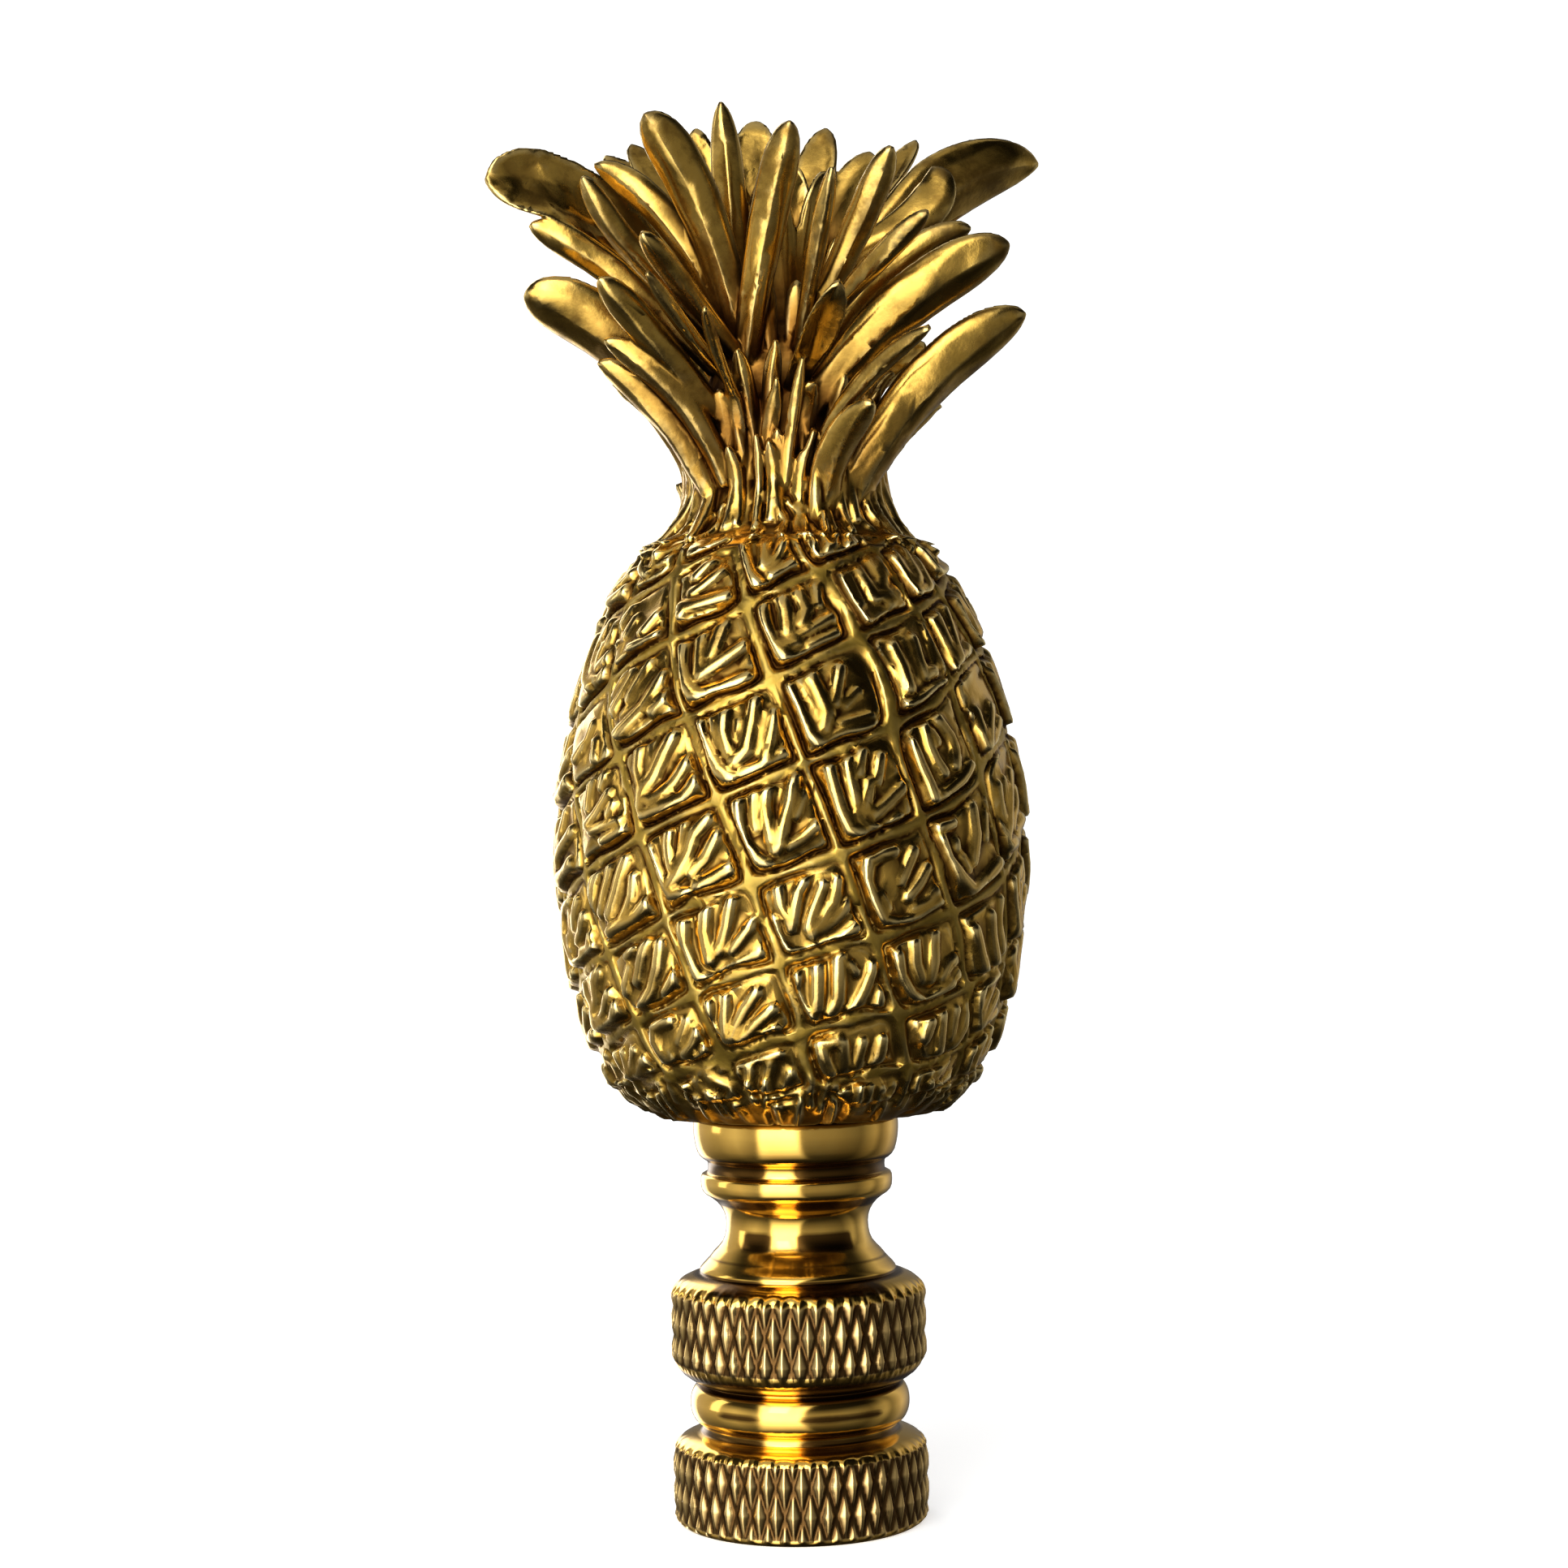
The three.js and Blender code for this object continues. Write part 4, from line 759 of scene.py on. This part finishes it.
def base_rows():
    """(radius, height, knurl share, thread share) from the hole's top, down the thread, and up the outside."""
    rows = [(0.35, HOLE_DEPTH, 0, 0), (1.6, HOLE_DEPTH - 0.35, 0, 0), (2.7, HOLE_DEPTH - 0.75, 0, 0)]
    for z in np.arange(HOLE_DEPTH - 1.0, 0.55, -THREAD_PITCH / 8):
        rows.append((2.95, float(z), 0, min(1.0, (HOLE_DEPTH - 1.0 - z) / 0.6 + 0.05) * min(1.0, (z - 0.35) / 0.5)))
    rows += [(3.1, 0.42, 0, 0), (3.35, 0.16, 0, 0), (3.5, 0.03, 0, 0), (3.62, 0.0, 0, 0), (4.8, 0.0, 0, 0), (5.85, 0.0, 0, 0)]
    rows += [(6.0, 0.02, 0, 0), (6.12, 0.1, 0, 0), (6.24, 0.22, 0.35, 0), (6.33, 0.36, 0.8, 0)]
    for z in np.linspace(0.5, 3.5, 30):
        rows.append((6.35, float(z), 1, 0))
    rows += [(6.35, 3.6, 1, 0), (6.31, 3.72, 0.8, 0), (6.22, 3.84, 0.55, 0), (6.08, 3.97, 0.25, 0), (5.9, 4.1, 0.05, 0), (5.6, 4.24, 0, 0)]
    rows += [(5.25, 4.36, 0, 0), (5.0, 4.43, 0, 0), (4.9, 4.5, 0, 0), (4.87, 4.6, 0, 0), (4.87, 4.75, 0, 0), (4.88, 4.84, 0, 0)]
    for a in np.linspace(-78, 78, 15):
        a = math.radians(a)
        rows.append((4.9 + 0.55 * math.cos(a), 5.85 + 0.95 * math.sin(a), 0, 0))
    rows += [(4.9, 6.84, 0, 0), (4.88, 6.9, 0, 0), (5.0, 6.94, 0, 0), (5.12, 6.96, 0, 0), (5.23, 7.0, 0, 0)]
    rows += [(5.52, 7.18, 0, 0), (5.82, 7.4, 0, 0), (6.05, 7.66, 0.1, 0), (6.2, 7.88, 0.45, 0), (6.31, 8.04, 0.8, 0)]
    for z in np.linspace(8.2, 11.2, 30):
        rows.append((6.35, float(z), 1, 0))
    rows += [(6.34, 11.3, 1, 0), (6.28, 11.45, 0.75, 0), (6.18, 11.6, 0.5, 0), (6.02, 11.77, 0.25, 0), (5.8, 11.93, 0.05, 0)]
    rows += [(5.5, 12.07, 0, 0), (5.2, 12.17, 0, 0), (5.0, 12.24, 0, 0), (4.9, 12.26, 0, 0), (4.86, 12.3, 0, 0), (4.9, 12.38, 0, 0)]
    rows += [(4.85, 12.5, 0, 0), (4.72, 12.66, 0, 0), (4.56, 12.82, 0, 0), (4.36, 13.04, 0, 0), (4.18, 13.27, 0, 0)]
    rows += [(3.95, 13.5, 0, 0), (3.74, 13.75, 0, 0), (3.61, 14.05, 0, 0), (3.55, 14.35, 0, 0), (3.53, 14.7, 0, 0)]
    rows += [(3.56, 15.0, 0, 0), (3.65, 15.28, 0, 0), (3.8, 15.54, 0, 0), (4.02, 15.8, 0, 0), (4.3, 16.02, 0, 0), (4.55, 16.18, 0, 0)]
    rows += [(4.68, 16.32, 0, 0), (4.75, 16.5, 0, 0), (4.77, 16.75, 0, 0), (4.76, 17.0, 0, 0), (4.71, 17.12, 0, 0), (4.6, 17.18, 0, 0)]
    rows += [(4.48, 17.22, 0, 0), (4.42, 17.3, 0, 0), (4.4, 17.5, 0, 0), (4.42, 17.74, 0, 0), (4.5, 17.84, 0, 0), (4.64, 17.92, 0, 0)]
    rows += [(4.8, 18.06, 0, 0), (4.93, 18.28, 0, 0), (5.02, 18.6, 0, 0), (5.08, 18.95, 0, 0), (5.11, 19.3, 0, 0), (5.11, 19.6, 0, 0)]
    rows += [(5.09, 19.8, 0, 0), (5.03, 19.95, 0, 0), (4.92, 20.03, 0, 0), (4.8, BASE_TOP, 0, 0), (3.0, BASE_TOP, 0, 0), (0.6, BASE_TOP, 0, 0)]
    return rows


def build_base():
    rows = base_rows()
    th = np.arange(COLUMNS) / COLUMNS * 2 * math.pi
    points = []
    slope = math.tan(math.radians(17)) / 6.35  # radians of turn for each mm of height
    for r, z, knurl, thread in rows:
        rad = np.full(COLUMNS, r)
        if knurl:
            depth = 0
            cuts = []
            for side in (1, -1):
                phase = (th + side * slope * z) * KNURLS / (2 * math.pi)
                saw = np.abs((phase % 1) - 0.5) * 2  # 0 on the crest, 1 in the groove
                cuts.append(np.clip((saw - 0.18) / 0.82, 0, 1))
            depth = np.maximum(cuts[0], cuts[1])
            rad = rad - 0.27 * knurl * depth
        if thread:
            turn = (z / THREAD_PITCH - th / (2 * math.pi)) % 1
            rad = 3.16 - 0.44 * thread * (1 - np.abs(turn - 0.5) * 2) ** 0.9 * 1.0 - 0.0
            rad = np.minimum(rad, 3.16)
        points.append(np.stack([rad * np.cos(th), rad * np.sin(th), np.full(COLUMNS, z)], -1))
    pts = np.concatenate(points)
    n = len(rows)
    a = np.arange(COLUMNS)
    b = (a + 1) % COLUMNS
    faces = []
    for k in range(n - 1):
        faces.append(np.stack([k * COLUMNS + a, k * COLUMNS + b, (k + 1) * COLUMNS + b, (k + 1) * COLUMNS + a], -1))
    quads = np.concatenate(faces)
    start, end = len(pts), len(pts) + 1
    pts = np.concatenate([pts, [[0, 0, HOLE_DEPTH], [0, 0, BASE_TOP]]])
    tris = [(start, int(j), int(i)) for i, j in zip(a, b)]
    tris += [(end, int((n - 1) * COLUMNS + i), int((n - 1) * COLUMNS + j)) for i, j in zip(a, b)]
    ob = mesh_object("turned_base", pts, quads.tolist() + tris)
    me = ob.data
    co = np.zeros(len(me.vertices) * 3, np.float32)
    me.vertices.foreach_get("co", co)
    co = co.reshape(-1, 3) * 1000
    prof_z = np.array([r[1] for r in rows])
    # dirt held low in the knurl and in the narrow grooves
    radial = np.hypot(co[:, 0], co[:, 1])
    band = ((co[:, 2] > 0.3) & (co[:, 2] < 3.75)) | ((co[:, 2] > 7.95) & (co[:, 2] < 11.4))
    low = np.where(band, np.clip((6.35 - radial) / 0.27, 0, 1), 0)
    groove = np.zeros(len(co))
    # rings that are dark all round: patina in the grooves and at the joint with the fruit, and painted shade and
    # painted reflection on the bevel under the upper knurl, on the flare above it and under the lip
    for z0, wide, much in ((4.60, 0.22, 0.8), (6.86, 0.22, 0.8), (7.30, 0.42, 0.9), (12.98, 0.10, 0.7), (12.28, 0.14, 0.85), (15.88, 0.31, 0.95), (17.68, 0.50, 1.0), (20.0, 0.10, 0.8)):
        groove = np.maximum(groove, much * np.exp(-(((co[:, 2] - z0) / wide) ** 4)) * (radial < 6.2))
    # and rings of painted shade and painted reflection, only in front and behind: on the shoulder above the lower
    # knurl, on the bead, on the shoulder above the upper knurl and on the waist
    around = np.degrees(np.arctan2(co[:, 1], co[:, 0]))
    painted_highlight_line = np.exp(-(((around + 101) / 10.5) ** 4))  # a painted highlight line, left of the middle of the front, where the dark rings are lifted
    groove = groove * (1 - 0.75 * painted_highlight_line)
    turned = smooth(0.60, 0.74, np.abs(np.sin(np.radians(around)))) * (1 - painted_highlight_line)
    for z0, wide, much in ((4.28, 0.18, 0.7), (5.86, 0.20, 0.8), (11.95, 0.32, 0.75), (14.08, 0.58, 0.85)):
        groove = np.maximum(groove, much * turned * np.exp(-(((co[:, 2] - z0) / wide) ** 8)) * (radial < 6.2))
    # the darkness mark joins patina in the knurl and grooves with the rings of painted shade and painted reflection
    set_attribute(me, "sunk", np.where(radial < 3.4, 0, np.maximum(low, groove)))
    set_attribute(me, "knurl", band.astype(float))
    return ob


base = build_base()
for me in (casting.data, base.data):
    print(me.name, len(me.vertices), sum(len(p.vertices) - 2 for p in me.polygons))


# ---- materials ------------------------------------------------------------------
def nodes_of(name):
    m = bpy.data.materials.new(name)
    m.use_nodes = True
    nt = m.node_tree
    return m, nt, nt.nodes["Principled BSDF"]


def add(nt, kind, **values):
    n = nt.nodes.new(kind)
    for k, v in values.items():
        if k.startswith("in_"):
            key = k[3:]
            n.inputs[int(key) if key.isdigit() else key].default_value = v
        else:
            setattr(n, k, v)
    return n


def ramp(nt, source, stops):
    n = add(nt, "ShaderNodeValToRGB")
    cr = n.color_ramp
    while len(cr.elements) < len(stops):
        cr.elements.new(0.5)
    for e, (pos, value) in zip(cr.elements, stops):
        e.position = pos
        e.color = (value, value, value, 1) if isinstance(value, (int, float)) else (*value, 1)
    nt.links.new(source, n.inputs["Fac"])
    return n.outputs["Color"]


def mix(nt, fac, a, b, kind="MIX"):
    n = add(nt, "ShaderNodeMix", data_type="RGBA", blend_type=kind)
    for slot, v in (("Factor", fac), (6, a), (7, b)):
        if isinstance(v, bpy.types.NodeSocket):
            nt.links.new(v, n.inputs[slot])
        elif isinstance(v, (int, float)):
            n.inputs[slot].default_value = v
        else:
            n.inputs[slot].default_value = (*v, 1)
    return n.outputs[2]


def math_node(nt, op, a, b=0.0, clamp=False):
    n = add(nt, "ShaderNodeMath", operation=op, use_clamp=clamp)
    for i, v in enumerate((a, b)):
        if isinstance(v, bpy.types.NodeSocket):
            nt.links.new(v, n.inputs[i])
        else:
            n.inputs[i].default_value = v
    return n.outputs[0]


def noise(nt, scale, detail=4, rough=0.55, vector=None):
    n = add(nt, "ShaderNodeTexNoise", in_Scale=scale, in_Detail=detail, in_Roughness=rough)
    if vector is None:
        vector = add(nt, "ShaderNodeTexCoord").outputs["Object"]
    nt.links.new(vector, n.inputs["Vector"])
    return n.outputs["Fac"]


def height_of(nt):
    """Height above the part's foot, in metres."""
    split = nt.nodes.new("ShaderNodeSeparateXYZ")
    nt.links.new(add(nt, "ShaderNodeTexCoord").outputs["Object"], split.inputs[0])
    return split.outputs["Z"]


def casting_material():
    m, nt, p = nodes_of("antique_brass_casting")
    sunk = add(nt, "ShaderNodeAttribute", attribute_name="sunk").outputs["Fac"]
    crevice = add(nt, "ShaderNodeAttribute", attribute_name="crevice").outputs["Fac"]
    deep = add(nt, "ShaderNodeAttribute", attribute_name="deep").outputs["Fac"]
    blotch = noise(nt, 260, 4, 0.6)
    speck = noise(nt, 1500, 3, 0.6)
    broad = noise(nt, 90, 3, 0.5)
    # gold tone, varied
    gold = mix(nt, ramp(nt, broad, [(0.35, 0.0), (0.65, 1.0)]), (0.72, 0.455, 0.11), (0.61, 0.385, 0.085))
    # a maroon tint of the crown's heart and painted shade, darker where the crown is most closed in
    heart_tint_and_shade = ramp(nt, deep, [(0.20, 0.0), (0.42, 1.0)])
    seam = add(nt, "ShaderNodeAttribute", attribute_name="seam").outputs["Fac"]
    painted_underside_shade = add(nt, "ShaderNodeAttribute", attribute_name="painted_underside_shade").outputs["Fac"]
    net = ramp(nt, seam, [(0.07, 1.0), (0.22, 0.0)])
    side = add(nt, "ShaderNodeAttribute", attribute_name="side").outputs["Fac"]
    outline = ramp(nt, seam, [(0.18, 0.0), (0.26, 1.0), (0.34, 1.0), (0.45, 0.0)])
    gold = mix(nt, math_node(nt, "MULTIPLY", net, 0.85), gold, (0.44, 0.30, 0.058))
    place = height_of(nt)
    crown = math_node(nt, "MULTIPLY", math_node(nt, "SUBTRACT", place, 0.0500), 300.0, clamp=True)
    gold = mix(nt, math_node(nt, "MULTIPLY", crown, 0.8), gold, (0.54, 0.35, 0.085))
    gold = mix(nt, math_node(nt, "MULTIPLY", math_node(nt, "MULTIPLY", heart_tint_and_shade, crown), 0.6), gold, (0.30, 0.11, 0.02))
    # brighter, paler metal on the proud edges: polish worn there, and a painted highlight
    proud = math_node(nt, "MULTIPLY", ramp(nt, sunk, [(0.36, 1.0), (0.47, 0.0)]), math_node(nt, "SUBTRACT", 1.0, math_node(nt, "MULTIPLY", net, 0.75)))
    gold = mix(nt, math_node(nt, "MULTIPLY", proud, math_node(nt, "SUBTRACT", 0.85, math_node(nt, "MULTIPLY", crown, 0.45))), gold, (0.92, 0.74, 0.36))
    # patina held in the recesses, varied by random blotches, and painted shade where the surface is closed in by what
    # stands round it: between the leaves and in the gaps of the crown
    stain = math_node(nt, "MULTIPLY", math_node(nt, "SUBTRACT", blotch, 0.5), 0.20)
    dark = ramp(nt, math_node(nt, "ADD", sunk, stain), [(0.50, 0.0), (0.63, 1.0)])
    fleck = math_node(nt, "MULTIPLY", math_node(nt, "SUBTRACT", speck, 0.5), 0.16)
    shut = math_node(nt, "ADD", crevice, fleck)
    crevice_shade = ramp(nt, shut, [(0.20, 0.0), (0.44, 1.0)])
    # painted shade in the crown's gaps, reaching further out than on the fruit
    crown_gap_shade = math_node(nt, "MULTIPLY", ramp(nt, shut, [(0.07, 0.0), (0.28, 1.0)]), crown)
    smear = noise(nt, 420, 5, 0.65)
    dark4 = math_node(nt, "MULTIPLY", math_node(nt, "MULTIPLY", ramp(nt, smear, [(0.48, 0.0), (0.64, 1.0)]), crown), 0.6)
    patina = math_node(nt, "MAXIMUM", dark, math_node(nt, "MULTIPLY", math_node(nt, "MAXIMUM", crevice_shade, crown_gap_shade), 0.9))
    # a dark line in the groove round each eye: patina in the groove, and painted shadow that is darkest beside the
    # eye's proud left and lower borders
    patina = math_node(nt, "MAXIMUM", patina, math_node(nt, "MULTIPLY", outline, math_node(nt, "ADD", 0.25, math_node(nt, "MULTIPLY", side, 0.7))))
    # painted shade under the fruit's foot is added to the darkening
    patina = math_node(nt, "MAXIMUM", math_node(nt, "MAXIMUM", patina, dark4), painted_underside_shade)
    # the patina is weakened on the lower eyes, so the fruit is lighter towards its foot
    low = math_node(nt, "MULTIPLY", math_node(nt, "SUBTRACT", 0.0335, place), 150.0, clamp=True)
    patina = math_node(nt, "MULTIPLY", patina, math_node(nt, "SUBTRACT", 0.95, math_node(nt, "MULTIPLY", low, 0.42)))
    colour = mix(nt, patina, gold, (0.045, 0.013, 0.002))
    nt.links.new(colour, p.inputs["Base Color"])
    p.inputs["Metallic"].default_value = 1.0
    rough = math_node(nt, "ADD", math_node(nt, "MULTIPLY", patina, 0.30), math_node(nt, "MULTIPLY", blotch, 0.16))
    rough = math_node(nt, "ADD", math_node(nt, "ADD", rough, 0.12), math_node(nt, "MULTIPLY", net, 0.22))
    nt.links.new(rough, p.inputs["Roughness"])
    bump = add(nt, "ShaderNodeBump", in_Strength=0.4, in_Distance=0.00008)
    hgt = math_node(nt, "ADD", math_node(nt, "MULTIPLY", speck, 0.5), blotch)
    nt.links.new(hgt, bump.inputs["Height"])
    nt.links.new(bump.outputs["Normal"], p.inputs["Normal"])
    return m


def base_material():
    m, nt, p = nodes_of("polished_brass_base")
    sunk = add(nt, "ShaderNodeAttribute", attribute_name="sunk").outputs["Fac"]
    coord = add(nt, "ShaderNodeTexCoord").outputs["Object"]
    stretch = add(nt, "ShaderNodeMapping", in_Scale=(60, 60, 5200))
    nt.links.new(coord, stretch.inputs["Vector"])
    lines = noise(nt, 1.0, 2, 0.5, stretch.outputs["Vector"])
    blotch = noise(nt, 300, 4, 0.6)
    knurl = add(nt, "ShaderNodeAttribute", attribute_name="knurl").outputs["Fac"]
    gold = mix(nt, ramp(nt, blotch, [(0.35, 0.0), (0.7, 1.0)]), (0.95, 0.62, 0.16), (0.88, 0.53, 0.12))
    gold = mix(nt, knurl, gold, (0.78, 0.55, 0.23))
    # darkness from the sunk mark: patina in the knurl and grooves, and rings of painted shade and painted reflection
    level = math_node(nt, "ADD", sunk, math_node(nt, "MULTIPLY", math_node(nt, "SUBTRACT", blotch, 0.5), 0.3))
    dark = math_node(nt, "MULTIPLY", ramp(nt, level, [(0.34, 0.0), (0.70, 1.0)]), 0.93)
    nt.links.new(mix(nt, dark, gold, (0.085, 0.038, 0.010)), p.inputs["Base Color"])
    p.inputs["Metallic"].default_value = 1.0
    rough = math_node(nt, "ADD", math_node(nt, "MULTIPLY", lines, 0.08), 0.09)
    rough = math_node(nt, "ADD", rough, math_node(nt, "MULTIPLY", dark, 0.12))
    nt.links.new(rough, p.inputs["Roughness"])
    bump = add(nt, "ShaderNodeBump", in_Strength=0.06, in_Distance=0.00003)
    nt.links.new(lines, bump.inputs["Height"])
    nt.links.new(bump.outputs["Normal"], p.inputs["Normal"])
    return m


casting.data.materials.append(casting_material())
base.data.materials.append(base_material())
for piece, node, slot in ((casting, "pineapple", "antique_brass_casting"), (base, "knurled_base", "polished_brass_base")):
    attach(piece, "root")
    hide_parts(node)

# ---- stage and light --------------------------------------------------------------
# A white studio: floor and far wall are white to the eye, while the metal mirrors a dim room with a few soft boxes.
floor = mesh_object("floor", [(-4000, -4000, 0), (4000, -4000, 0), (4000, 4000, 0), (-4000, 4000, 0)], [(0, 1, 2, 3)], False)
fm, fnt, fp = nodes_of("floor_paper")
fp.inputs["Base Color"].default_value = (0.95, 0.95, 0.95, 1)
fp.inputs["Roughness"].default_value = 0.9
fp.inputs["Specular IOR Level"].default_value = 0.0
fp.inputs["Emission Color"].default_value = (1, 1, 1, 1)
fp.inputs["Emission Strength"].default_value = 0.51
floor.data.materials.append(fm)
floor.visible_glossy = False
floor.visible_shadow = False

world = bpy.data.worlds.new("studio")
scene.world = world
world.use_nodes = True
wt = world.node_tree
wt.nodes.clear()
out = wt.nodes.new("ShaderNodeOutputWorld")
white = add(wt, "ShaderNodeBackground", in_Color=(1, 1, 1, 1), in_Strength=1.0)
room = add(wt, "ShaderNodeBackground", in_Strength=1.0)
path = wt.nodes.new("ShaderNodeLightPath")
pick = wt.nodes.new("ShaderNodeMixShader")
wt.links.new(path.outputs["Is Camera Ray"], pick.inputs[0])
wt.links.new(room.outputs[0], pick.inputs[1])
wt.links.new(white.outputs[0], pick.inputs[2])
wt.links.new(pick.outputs[0], out.inputs["Surface"])
where = add(wt, "ShaderNodeTexCoord").outputs["Generated"]
split = wt.nodes.new("ShaderNodeSeparateXYZ")
wt.links.new(where, split.inputs[0])
east, north, rise_z = split.outputs["X"], split.outputs["Y"], split.outputs["Z"]
# azimuth from the front, left negative: 0 to 1 over -180 to 180 degrees
turn = math_node(wt, "ADD", math_node(wt, "DIVIDE", math_node(wt, "ARCTAN2", east, math_node(wt, "MULTIPLY", north, -1.0)), 2 * math.pi), 0.5)
level = math_node(wt, "ADD", math_node(wt, "MULTIPLY", rise_z, 0.5), 0.5)
walls = ramp(wt, turn, [(0.0, 0.16), (0.05, 0.20), (0.13, 0.52), (0.22, 0.42), (0.30, 0.66), (0.36, 0.40), (0.50, 0.27), (0.52, 0.30), (0.62, 0.26), (0.72, 0.15), (0.78, 0.38), (0.81, 0.20), (0.87, 0.56), (0.95, 0.20), (1.0, 0.16)])
front_rise = ramp(wt, level, [(0.0, 0.04), (0.16, 0.16), (0.30, 0.62), (0.42, 1.0), (0.58, 1.0), (0.66, 0.50), (0.74, 0.08), (1.0, 0.02)])
back_rise = ramp(wt, level, [(0.0, 0.04), (0.25, 0.3), (0.45, 1.0), (0.74, 0.9), (0.86, 0.15), (1.0, 0.02)])
behind = ramp(wt, math_node(wt, "ADD", math_node(wt, "MULTIPLY", north, 0.5), 0.5), [(0.50, 0.0), (0.72, 1.0)])
room_level = math_node(wt, "MULTIPLY", walls, mix(wt, behind, front_rise, back_rise))
# one tall soft box left of the camera that carries on overhead
off = math_node(wt, "ABSOLUTE", math_node(wt, "ADD", math_node(wt, "MULTIPLY", east, 0.940), math_node(wt, "MULTIPLY", north, -0.342)))
toward = math_node(wt, "ADD", math_node(wt, "MULTIPLY", east, -0.342), math_node(wt, "MULTIPLY", north, -0.940))
band = ramp(wt, off, [(0.33, 1.0), (0.43, 0.0)])
reach = ramp(wt, math_node(wt, "ADD", math_node(wt, "MULTIPLY", toward, 0.5), 0.5), [(0.22, 0.0), (0.34, 1.0)])
low_end = ramp(wt, level, [(0.10, 0.0), (0.22, 0.35), (0.36, 0.75), (0.45, 1.0), (0.80, 1.0), (0.90, 0.22), (1.0, 0.16)])
strip = math_node(wt, "MULTIPLY", math_node(wt, "MULTIPLY", band, reach), math_node(wt, "MULTIPLY", low_end, 2.4))
# and a lower one far behind on the left, for the sides that the camera does not see
off2 = math_node(wt, "ABSOLUTE", math_node(wt, "SUBTRACT", turn, 0.075))
band2 = ramp(wt, off2, [(0.025, 1.0), (0.042, 0.0)])
level2 = ramp(wt, level, [(0.20, 0.0), (0.34, 1.0), (0.84, 1.0), (0.92, 0.1)])
strip = math_node(wt, "ADD", strip, math_node(wt, "MULTIPLY", math_node(wt, "MULTIPLY", band2, level2), 1.9))
wt.links.new(math_node(wt, "ADD", room_level, strip), room.inputs["Color"])


def area(name, place, target, size, power, colour=(1, 1, 1)):
    d = bpy.data.lights.new(name, "AREA")
    d.shape = "RECTANGLE"
    d.size, d.size_y = size
    d.energy = power
    d.color = colour
    o = bpy.data.objects.new(name, d)
    o.location = place
    o.rotation_euler = (Vector(target) - Vector(place)).to_track_quat("-Z", "Y").to_euler()
    o.visible_camera = False
    scene.collection.objects.link(o)
    return o


def soft_box(name, azimuth, height, reach, size, radiance):
    """A soft box at an azimuth from the front, to the left when negative, of a given brightness."""
    a = math.radians(azimuth)
    place = (math.sin(a) * reach, -math.cos(a) * reach, height)
    return area(name, place, (0, 0, 0.035), size, radiance * math.pi * size[0] * size[1])


soft_box("key", -24, 0.30, 0.45, (0.18, 0.30), 1.4)
soft_box("left", -100, 0.16, 0.55, (0.14, 0.40), 1.2)
scene.view_settings.view_transform = "Standard"
scene.view_settings.look = "Medium High Contrast"
